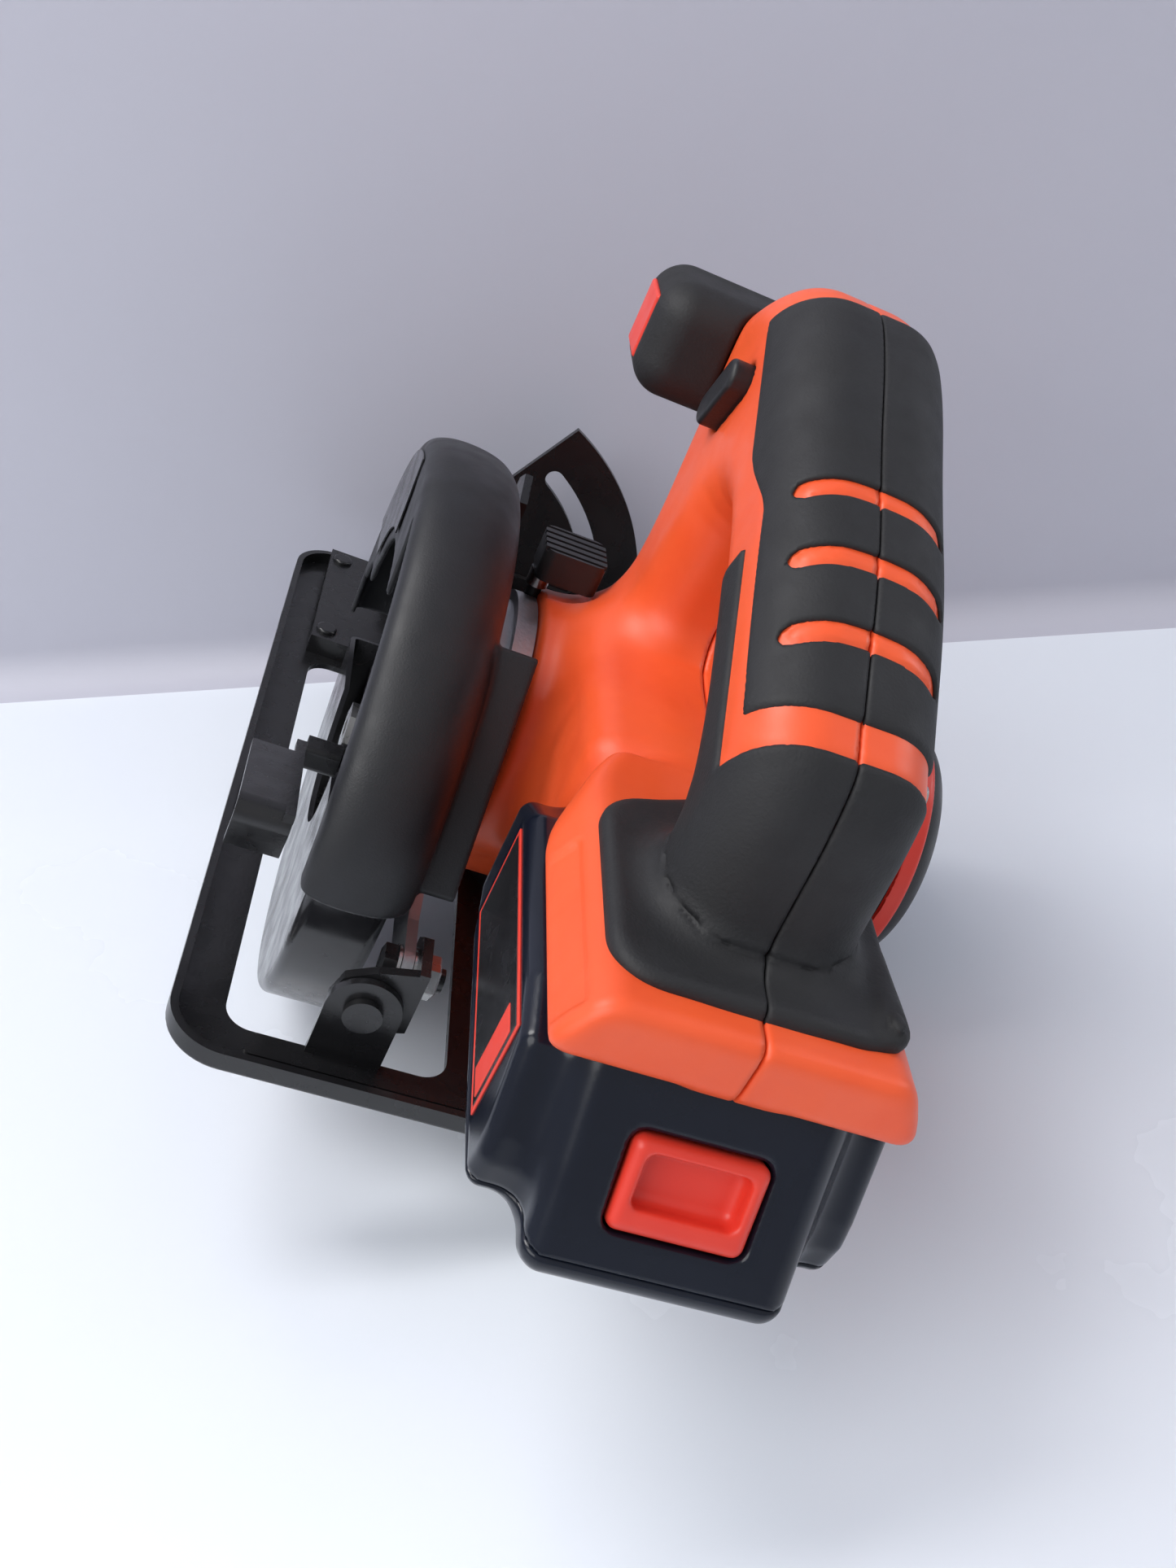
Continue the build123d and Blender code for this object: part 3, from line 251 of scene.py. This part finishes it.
def finish(name, dark, light, rough, metallic=0.0, grain=2500.0, bump=0.12, patch=35.0, coat=0.0,
           scratch=0.0, specular=0.5, rough_spread=0.08):
    """Plastic, paint or metal: patchy colour, fine grain, uneven gloss and, if asked, hairline scratches."""
    mat = bpy.data.materials.new(name)
    mat.use_nodes = True
    tree = mat.node_tree
    nodes, links = tree.nodes, tree.links
    shader = nodes["Principled BSDF"]
    shader.inputs["Metallic"].default_value = metallic
    shader.inputs["Specular IOR Level"].default_value = specular
    if coat:
        shader.inputs["Coat Weight"].default_value = coat
        shader.inputs["Coat Roughness"].default_value = 0.06
    place = nodes.new("ShaderNodeTexCoord")

    def noise(scale, detail):
        node = nodes.new("ShaderNodeTexNoise")
        node.inputs["Scale"].default_value = scale
        node.inputs["Detail"].default_value = detail
        links.new(place.outputs["Object"], node.inputs["Vector"])
        return node

    patches = noise(patch, 5)
    ramp = nodes.new("ShaderNodeValToRGB")
    ramp.color_ramp.elements[0].position, ramp.color_ramp.elements[1].position = 0.3, 0.7
    ramp.color_ramp.elements[0].color, ramp.color_ramp.elements[1].color = (*dark, 1), (*light, 1)
    links.new(patches.outputs["Fac"], ramp.inputs["Fac"])
    links.new(ramp.outputs["Color"], shader.inputs["Base Color"])
    gloss = nodes.new("ShaderNodeMapRange")
    gloss.inputs["From Min"].default_value, gloss.inputs["From Max"].default_value = 0.3, 0.7
    gloss.inputs["To Min"].default_value = max(0.02, rough - rough_spread)
    gloss.inputs["To Max"].default_value = rough + rough_spread
    links.new(noise(patch * 3, 6).outputs["Fac"], gloss.inputs["Value"])
    links.new(gloss.outputs["Result"], shader.inputs["Roughness"])
    relief = nodes.new("ShaderNodeBump")
    relief.inputs["Strength"].default_value = bump
    relief.inputs["Distance"].default_value = 0.0002
    links.new(noise(grain, 3).outputs["Fac"], relief.inputs["Height"])
    if scratch:
        lines = nodes.new("ShaderNodeTexNoise")
        lines.inputs["Scale"].default_value, lines.inputs["Detail"].default_value = 60.0, 8
        stretch = nodes.new("ShaderNodeMapping")
        stretch.inputs["Scale"].default_value = (1.0, 0.06, 1.0)
        stretch.inputs["Rotation"].default_value = (0.3, 0.2, 0.7)
        links.new(place.outputs["Object"], stretch.inputs["Vector"])
        links.new(stretch.outputs["Vector"], lines.inputs["Vector"])
        second = nodes.new("ShaderNodeBump")
        second.inputs["Strength"].default_value = scratch
        second.inputs["Distance"].default_value = 0.0003
        links.new(lines.outputs["Fac"], second.inputs["Height"])
        links.new(relief.outputs["Normal"], second.inputs["Normal"])
        relief = second
    links.new(relief.outputs["Normal"], shader.inputs["Normal"])
    return mat


ORANGE = finish("orange_shell", (0.80, 0.085, 0.020), (0.87, 0.11, 0.028), 0.42, bump=0.10, grain=3500)
RED = finish("orange_red", (0.72, 0.038, 0.022), (0.80, 0.055, 0.03), 0.38, bump=0.05)
RUBBER = finish("black_rubber", (0.008, 0.008, 0.009), (0.013, 0.013, 0.0145), 0.66, bump=0.5, grain=1500)
GUARD = finish("guard_plastic", (0.007, 0.0075, 0.009), (0.012, 0.0125, 0.015), 0.48, bump=0.3, grain=2200)
SHINY = finish("lower_guard_plastic", (0.012, 0.012, 0.014), (0.02, 0.02, 0.023), 0.22, bump=0.04,
               scratch=0.05)
PACK = finish("battery_plastic", (0.004, 0.006, 0.013), (0.007, 0.010, 0.019), 0.2, bump=0.02, specular=0.35,
              rough_spread=0.04)
PLASTIC = finish("black_plastic", (0.007, 0.007, 0.008), (0.012, 0.012, 0.0135), 0.42, bump=0.25, grain=2000)
PAINT = finish("black_steel", (0.008, 0.008, 0.009), (0.013, 0.013, 0.014), 0.27, bump=0.12, grain=900)
STEEL = finish("bright_steel", (0.42, 0.42, 0.42), (0.6, 0.6, 0.59), 0.26, metallic=1.0, bump=0.08,
               scratch=0.15)
GROUND = finish("ground_steel", (0.3, 0.3, 0.31), (0.45, 0.45, 0.46), 0.3, metallic=1.0, scratch=0.3)
CAST = finish("cast_aluminium", (0.36, 0.37, 0.39), (0.5, 0.51, 0.53), 0.45, metallic=1.0, bump=0.5,
              grain=900)
FERRITE = finish("ferrite", (0.04, 0.04, 0.045), (0.06, 0.06, 0.065), 0.6, bump=0.3)
COPPER = finish("copper_winding", (0.5, 0.2, 0.09), (0.65, 0.28, 0.12), 0.3, metallic=1.0)
CELL = finish("cell_wrap", (0.03, 0.2, 0.32), (0.04, 0.25, 0.4), 0.25)
CONTACT = finish("brass_contact", (0.6, 0.45, 0.2), (0.7, 0.55, 0.28), 0.25, metallic=1.0)
FILM = finish("label_film", (0.01, 0.01, 0.011), (0.014, 0.014, 0.016), 0.24, bump=0.03)

SLOT_FINISH = {
    "black_steel": PAINT, "bright_steel": STEEL, "bearing_steel": GROUND, "blade_steel": GROUND,
    "cast_aluminium": CAST, "guard_plastic": GUARD, "lower_guard_plastic": SHINY, "orange_shell": ORANGE,
    "orange_red": RED, "black_rubber": RUBBER, "black_plastic": PLASTIC, "battery_plastic": PACK,
    "label_film": FILM, "ferrite": FERRITE, "copper_winding": COPPER, "cell_wrap": CELL,
    "brass_contact": CONTACT,
}

# drawn black, though their slot in the record is bright steel
BLACKENED = ("depth_pivot_bolt", "bevel_rivets", "quadrant_rivets")
for entry in frame["record"]["subparts"]:
    mesh = NODES[entry["node"]].data
    mesh.materials.clear()
    mesh.materials.append(PAINT if entry["node"] in BLACKENED else SLOT_FINISH[entry["material_slot"]])


# ======================= housing =======================

LOOP = Outline([
    (24, 80), (13, 100), (6, 122), (10, 150), (13, 180), (0, 189), (-14, 195.5), (-30, 196.5), (-46, 191),
    (-68.5, 180.5), (-98, 168.5), (-128, 150.5), (-137, 146), (-141, 132), (-143, 114), (-145, 100),
    (-160, 97), (-165, 84), (-100, 78), (-40, 62),
], rounds=3, share=0.22)
FINGERS = Outline([(-38, 154), (-29, 112), (-34, 99), (-78, 99), (-100, 101), (-112, 103), (-114, 119)],
                  rounds=3, share=0.2)


GRIP_ROUND, GRIP_INSET = 14, 0.7    # the grip's edge radius, and how far it sits inside the half width
RUBBER_OUT, RUBBER_IN = 0.9, 1.2    # the rubber stands out this far, and sinks in this far
HOOD_SIDE = (0.868, 0.496, 77.6)    # leaning side: |x| and z parts of its normal, and its distance
HOOD_FRONT = (0.878, 0.477, -16.3)  # tapering front corner: |x| and y parts, and its distance
LOCK_POCKET = ((-33.5, 5, 100), (9.2, 8.7, 7.0))  # room for the spindle lock button to go down
BOSS_R, BOSS_RIGHT = 27.6, -15


def handle(p):
    """The handle loop, with its rounded section, before anything is laid over it."""
    d2 = np.maximum(LOOP(p[:, 1], p[:, 2]), -FINGERS(p[:, 1], p[:, 2]))
    return slab(d2 + GRIP_ROUND, p[:, 0], -HALF_HANDLE + GRIP_INSET, HALF_HANDLE - GRIP_INSET, GRIP_ROUND)


def hood(p):
    """Roof over the battery: sides leaning in, front corners tapering into the bridge."""
    ax, y, z = np.abs(p[:, 0]), p[:, 1], p[:, 2]
    side = HOOD_SIDE[0] * ax + HOOD_SIDE[1] * z - HOOD_SIDE[2]
    front = HOOD_FRONT[0] * ax + HOOD_FRONT[1] * y - HOOD_FRONT[2]
    faces = (side, ax - 38.4, front, z - 102.6, 87.8 - z, -165.5 - y, y + 79.5)
    out = faces[0]
    for f in faces[1:]:
        out = both(out, f, 4.0)
    panel = np.maximum(np.maximum(-(side + 0.9), np.abs(y + 137) - 23), np.abs(z - 94.6) - 3.6)
    return cut(out, panel, 1.0)


def shell(p):
    """Barrel, arbor boss, bridge, handle and hood, run together."""
    barrel = disc(p, (MOTOR_Y, MOTOR_Z), BARREL_R, BARREL_LEFT, BARREL_RIGHT, 2.5)
    boss = disc(p, (0, ARBOR_Z), BOSS_R, BARREL_LEFT, BOSS_RIGHT, 2)
    bridge = box(p, (0, -44, 70), (28, 33.5, 29.5), 7)
    low = melt(melt(barrel, boss, 6), bridge, 12)
    out = melt(low, handle(p), 16)
    out = melt(out, hood(p), 3)
    ring = np.abs(p[:, 0] - 46) - 0.5
    out = cut(out, np.maximum(ring, -(barrel + 0.8)), 0.5)
    return cut(out, box(p, *LOCK_POCKET, 1), 0.5)


def stripe(p, u0, wide, long):
    """A short arched band across the top of the grip."""
    u, v = grip_uv(p)
    x = np.abs(p[:, 0])
    along = u - u0 - 0.010 * x * x + 1
    return np.maximum(np.hypot(np.maximum(x - long, 0), along) - wide, v - 12)


STRIPES = (14.8, 32.5, 49.9)


def stripes(p, wide, long):
    return join(*[stripe(p, u0, wide, long) for u0 in STRIPES])


def core(p):
    """Orange shell, with the stripes standing up inside their channels in the rubber."""
    return melt(shell(p), np.maximum(handle(p) - 0.45, stripes(p, 1.5, 13.5)), 0.4)


def pad_edge(u):
    """How far down the side of the grip the top pad reaches."""
    t = np.clip((u + 5) / 24, 0, 1)
    return 17.5 - 8.5 * t * t * (3 - 2 * t)


def top_pad(p):
    """Rubber over the top of the grip, with a channel round each stripe."""
    u, v = grip_uv(p)
    zone = np.maximum(np.maximum(-45 - u, u - 66.5), v - pad_edge(u))
    skin = both(handle(p) - RUBBER_OUT, zone, 2.0)
    skin = cut(skin, stripes(p, 2.3, 14.3), 0.8)
    return cut(skin, handle(p) + RUBBER_IN)


def rear_sleeve(p):
    """Knee behind the grip, the strip along the grip's underside, and the pad on the hood."""
    u, v = grip_uv(p)
    knee = np.maximum(74.0 - u, 96 - p[:, 2])
    under = np.maximum(np.maximum(15.5 - v, 22 - u), 100 - p[:, 2])
    zone = np.minimum(knee, np.maximum(under, p[:, 1] + 60))
    skin = both(handle(p) - RUBBER_OUT, np.maximum(zone, -FINGERS(p[:, 1], p[:, 2]) - 3), 1.6)
    ax, y, z = np.abs(p[:, 0]), p[:, 1], p[:, 2]
    flat = both(both(ax - 30.2, -157.5 - y, 12), 0.42 * ax + y + 92.0, 8)
    pad = slab(flat + 2.4, z, 96, 105.2, 2.4)
    fin = bar(p, (27.5, -131, 101), (26.5, -152.5, 104.5), 2.5, 3.2)
    out = melt(skin, pad, 7)
    out = melt(out, fin, 3)
    crease = np.maximum(np.abs(z - 108 - 0.15 * (y + 142)) - 0.3, -(out + 0.8))
    out = cut(out, crease, 0.5)
    return cut(out, np.minimum(handle(p), hood(p)) + RUBBER_IN)


def left_half(field):
    return lambda p: both(field(p), p[:, 0] + SEAM, 0.8)


def right_half(field):
    return lambda p: both(field(p), SEAM - p[:, 0], 0.8)


def with_trigger_slot(field):
    """The field with room cut for the trigger's travel and for the lock-off button."""
    def slotted(p):
        u, v = grip_uv(p)
        slot = np.maximum(np.maximum(np.abs(u - 3) - 11.6, np.abs(p[:, 0]) - 7.5), np.abs(v - 35) - 16)
        c, s = -0.582, 0.813
        dy, dz = p[:, 1] + 20, p[:, 2] - 165
        along, across = dy * c + dz * s, -dy * s + dz * c
        button = np.hypot(np.maximum(np.abs(along) - 7, 0), across) - 4.4
        return cut(field(p), np.minimum(slot, button), 0.8)
    return slotted


SHELL_BOX = ((-40, -168, 3), (64, 32, 202))
for side, half, node in (("left", left_half, "housing_left"), ("right", right_half, "housing_right")):
    solid(f"shell_{side}", half(with_trigger_slot(core)), *SHELL_BOX, ORANGE, "saw_body", "orange_shell",
          [node], step=1.0)
    solid(f"top_pad_{side}", half(with_trigger_slot(top_pad)), (-23, -140, 120), (23, 20, 203), RUBBER,
          "saw_body", "black_rubber", [f"overmould_{side}"], step=0.8)
    solid(f"rear_sleeve_{side}", half(rear_sleeve), (-33, -162, 92), (33, -50, 180), RUBBER, "saw_body",
          "black_rubber", step=0.9)


# ---- stub handle ----

def stub(p):
    """Round-edged block with a shallow pocket in its end for the inlay."""
    body = box(p, (-20, 15.5, 165), (20, 15.5, 14.5), 9)
    body = cut(body, box(p, (-41, 16, 165), (2.2, 8.1, 8.6), 2), 0.8)
    return cut(body, handle(p) - 0.3, 1.5)


solid("stub_handle", stub, (-43, -5, 146), (3, 34, 186), RUBBER, "saw_body", "black_rubber", ["aux_grip"],
      step=0.7)
solid("stub_inlay", lambda p: box(p, (-39.4, 16, 165), (0.8, 7.6, 8.1), 0.7), (-42, 3, 153), (-37, 28, 179),
      RED, "saw_body", "orange_shell", ["aux_grip_inlay"], step=0.35)


# ---- coloured ring near the end of the motor cap ----

def cap_ring(p):
    """Band round the cap. The meshing box below starts at x 72, so its left end is left open there."""
    band = disc(p, (MOTOR_Y, MOTOR_Z), 38, 71.5, 77, 1.2)
    return cut(band, disc(p, (MOTOR_Y, MOTOR_Z), 36.2, 70, 84))


solid("cap_ring", cap_ring, (72, -48, 16), (83, 32, 98), RED, "saw_body", "orange_red", ["end_cap_ring"],
      step=0.7)


# ======================= upper guard =======================

GUARD_SECTION = Outline([(-77.5, -20), (-77.5, 66), (-78, 77), (-77.4, 82.5), (-71.5, 85), (-62, 85),
                         (-55, 83), (-50.4, 77.5), (-50, 66), (-50, -20)], rounds=3, margin=12, step=0.25)


def guard_angle(p, degrees_at):
    """Distance above a plane through the blade's axis, tipped up towards +Y by an angle."""
    a = radians(degrees_at)
    return -sin(a) * p[:, 1] + cos(a) * (p[:, 2] - ARBOR_Z)


LIP_ALONG = (0.43, 0.903)  # direction of the plate at the guard's rear, in y and z


def upper_guard(p):
    """Thin skin round the blade, opened inside, below and at the arbor, with the plate at its rear."""
    y, z = p[:, 1], p[:, 2]
    r = np.hypot(y, z - ARBOR_Z)
    d2 = GUARD_SECTION(p[:, 0], r)
    skin = both(d2, -(d2 + 1.5), 0.8)
    inside_face = np.maximum(r - 76, p[:, 0] + 54)
    wall = np.maximum(np.maximum(-16 - y, 43 - z), 54 - r)
    skin = cut(skin, np.maximum(inside_face, -wall), 0.8)
    skin = cut(skin, r - 24.2, 0.5)
    skin = cut(skin, np.maximum(guard_angle(p, -5), -guard_angle(p, 176)), 1.6)
    skin = cut(skin, disc(p, (56, ARBOR_Z + 6), 15, -80, -74), 0.8)
    skin = cut(skin, np.maximum(z - 26, -53 - p[:, 0]), 0.5)
    dy, dz = y + 58, z - 69
    ly, lz = LIP_ALONG
    edge_on = np.maximum(np.abs(dy * lz - dz * ly) - 0.9, np.abs(dy * ly + dz * lz) - 30.4)
    lip = slab(edge_on, p[:, 0], -52, -41, 0.6)
    return melt(skin, lip, 1.5)


solid("upper_guard_shell", upper_guard, (-80, -88, 22), (-40, 88, 120), GUARD, "saw_body", "guard_plastic",
      ["upper_guard"], step=0.8)


# ======================= battery =======================

CORE_SIDE = Outline([(-83, 50), (-83, 100), (-147.7, 100), (-174.3, 51), (-173, 50)], rounds=0)
WING_SIDE = Outline([(-81.5, 51.5), (-81.5, 83), (-152, 83), (-162.5, 60), (-161.5, 51.5)],
                    rounds=1, share=0.15)
LABEL_Y, LABEL_Z, LABEL_HALF = -120, 67, (30.8, 12.8)
PACK_TOP = 87.4
LATCH_CENTRE = np.array([0.0, -171.1, 68.3], np.float32)
LATCH_OUT = np.array([0.0, -0.908, 0.418], np.float32)
LATCH_UP = np.array([0.0, 0.418, 0.908], np.float32)


def latch_frame(p):
    q = p - LATCH_CENTRE
    return np.stack([q[:, 0], q @ LATCH_UP, q @ LATCH_OUT], 1)


def pack(p):
    """Whole pack: a core with a wing each side, the latch's pocket, a flat top and the label recesses."""
    body = slab(CORE_SIDE(p[:, 1], p[:, 2]), p[:, 0], -HALF_CORE, HALF_CORE, 5)
    wings = slab(WING_SIDE(p[:, 1], p[:, 2]), p[:, 0], -HALF_BATTERY, HALF_BATTERY, 3.5)
    out = melt(body, wings, 7)
    q = latch_frame(p)
    out = cut(out, box(q, (0, 0, 0), (14.6, 10.1, 11.5), 3.2), 1.6)
    out = both(out, p[:, 2] - PACK_TOP, 0.6)
    for side in (-1, 1):
        out = cut(out, box(p, (side * 38.8, LABEL_Y, LABEL_Z), (0.6, 31.4, 13.4), 0.3), 0.3)
    return out


def pack_part(p, upper):
    cover = (52.6 - p[:, 2]) if upper else (p[:, 2] - 52.4)
    return both(pack(p), cover, 0.6)


solid("pack_upper", lambda p: pack_part(p, True), (-40, -182, 42), (40, -70, 90), PACK, "battery",
      "battery_plastic", ["battery_upper_case"], step=0.9)
solid("pack_lower", lambda p: pack_part(p, False), (-40, -182, 42), (40, -70, 56), PACK, "battery",
      "battery_plastic", ["battery_lower_case"], step=0.9)


def latch(p):
    q = latch_frame(p)
    body = box(q, (0, 0, -3.0), (14, 9.5, 3.8), 2.4)
    scoop = box(q, (0, 1.2, 0.8), (10.8, 5.6, 5.2), 2.2)
    return cut(body, scoop, 1.2)


solid("latch_button", latch, (-16, -184, 54), (16, -158, 84), RED, "battery_latch", "orange_red",
      ["battery_latch_button"], step=0.5)


def label_plate(side, inset, thick):
    """Flat plate on a wing of the pack, smaller all round by inset."""
    x = side * (HALF_BATTERY - 0.2)
    half = (thick, LABEL_HALF[0] - inset, LABEL_HALF[1] - inset)
    return lambda p: box(p, (x, LABEL_Y, LABEL_Z), half, 0.1)


for side, word in ((-1, "left"), (1, "right")):
    middle = side * (HALF_BATTERY - 0.2)
    around = ((middle - 1, -153, 52), (middle + 1, -87, 82))
    border, hole = label_plate(side, 0, 0.3), label_plate(side, 1, 0.6)
    face = label_plate(side, 1, 0.35)
    solid(f"label_border_{word}", lambda p, a=border, b=hole: cut(a(p), b(p)), *around, RED, "battery",
          "label_film", ["battery_labels"], step=0.3)
    solid(f"label_{word}", face, *around, FILM, "battery", "label_film", step=0.3)
    solid(f"label_block_{word}", lambda p, x=middle: box(p, (x, -144.4, 66), (0.5, 4.0, 9.5), 0.1),
          *around, RED, "battery", "label_film", step=0.3)


# ======================= camera, light and table =======================

camera = bpy.data.objects.new("camera", bpy.data.cameras.new("camera"))
camera.data.lens, camera.data.sensor_width = 34.2, 36.0
camera.data.clip_start = 0.01
axes = Matrix(((0.9212, -0.3040, -0.2429), (-0.0324, 0.5677, -0.8226), (0.3880, 0.7657, 0.5131)))
camera.matrix_world = Matrix.Translation((-0.1074, -0.3527, 0.2605)) @ axes.to_4x4()
bpy.context.scene.collection.objects.link(camera)
bpy.context.scene.camera = camera


def area(name, where, towards, size, watts, colour):
    light = bpy.data.lights.new(name, "AREA")
    light.shape, light.size, light.energy, light.color = "DISK", size, watts, colour
    obj = bpy.data.objects.new(name, light)
    obj.location = where
    obj.rotation_euler = (Vector(towards) - Vector(where)).to_track_quat("-Z", "Y").to_euler()
    bpy.context.scene.collection.objects.link(obj)


RIGHT, UP, BACK = (axes.col[i].copy() for i in range(3))
MIDDLE = Vector((-0.01, -0.02, 0.08))
area("key", MIDDLE + UP * 0.9 - RIGHT * 0.45 + BACK * 0.35, MIDDLE, 0.7, 15, (1.0, 0.985, 0.97))
area("rim", MIDDLE + UP * 0.55 + RIGHT * 0.95 - BACK * 0.05, MIDDLE, 0.6, 7, (0.96, 0.97, 1.0))
area("front", MIDDLE + UP * 0.25 - RIGHT * 0.55 + BACK * 1.0, MIDDLE, 0.9, 7, (1.0, 1.0, 1.0))

world = bpy.data.worlds.new("room")
world.use_nodes = True
world.node_tree.nodes["Background"].inputs["Color"].default_value = (0.80, 0.82, 0.88, 1)
world.node_tree.nodes["Background"].inputs["Strength"].default_value = 0.62
bpy.context.scene.world = world
bpy.context.scene.view_settings.view_transform = "Standard"

TABLE_UP = Vector((-0.435, -0.038, 0.900)).normalized()
TABLE_BACK = (-BACK - TABLE_UP * (-BACK).dot(TABLE_UP)).normalized()
TABLE_SIDE = TABLE_BACK.cross(TABLE_UP)
REST = min(TABLE_UP.dot(v.co) for o in NODES.values() for v in o.data.vertices)
DEEPEST = max(TABLE_BACK.dot(v.co) for o in NODES.values() for v in o.data.vertices)


def stage_finish(name, dark, light, rough):
    """Soft, slightly uneven surface, clear from behind so that a view from beneath isn't blocked."""
    mat = finish(name, dark, light, rough, bump=0.02, patch=1.5, grain=60)
    tree = mat.node_tree
    back, clear = tree.nodes.new("ShaderNodeNewGeometry"), tree.nodes.new("ShaderNodeBsdfTransparent")
    mix = tree.nodes.new("ShaderNodeMixShader")
    tree.links.new(back.outputs["Backfacing"], mix.inputs["Fac"])
    tree.links.new(tree.nodes["Principled BSDF"].outputs["BSDF"], mix.inputs[1])
    tree.links.new(clear.outputs["BSDF"], mix.inputs[2])
    tree.links.new(mix.outputs["Shader"], tree.nodes["Material Output"].inputs["Surface"])
    return mat


def stage_sheet(name, profile, material, wide=3.0):
    """A sheet run sideways along a profile of (depth, height) points above the table."""
    verts, faces = [], []
    for depth, height in profile:
        for side in (-wide, wide):
            verts.append(TABLE_BACK * depth + TABLE_UP * (REST + height) + TABLE_SIDE * side)
    for i in range(len(profile) - 1):
        faces.append((2 * i, 2 * i + 1, 2 * i + 3, 2 * i + 2))
    mesh = bpy.data.meshes.new(name)
    mesh.from_pydata([tuple(v) for v in verts], [], faces)
    mesh.polygons.foreach_set("use_smooth", [True] * len(faces))
    obj = bpy.data.objects.new(name, mesh)
    mesh.materials.append(material)
    bpy.context.scene.collection.objects.link(obj)


WALL, BEND = DEEPEST + 0.02, 0.015
table_paint = stage_finish("table", (0.74, 0.78, 0.84), (0.80, 0.84, 0.90), 0.22)
wall_paint = stage_finish("wall", (0.46, 0.46, 0.53), (0.52, 0.52, 0.59), 0.6)
bend = [(WALL - BEND * (1 - sin(a)), BEND * (1 - cos(a))) for a in np.linspace(0, pi / 2, 7)]
stage_sheet("table", [(-3.0, 0.0), (WALL - BEND, 0.0)], table_paint)
stage_sheet("wall", bend + [(WALL, 3.0)], wall_paint)
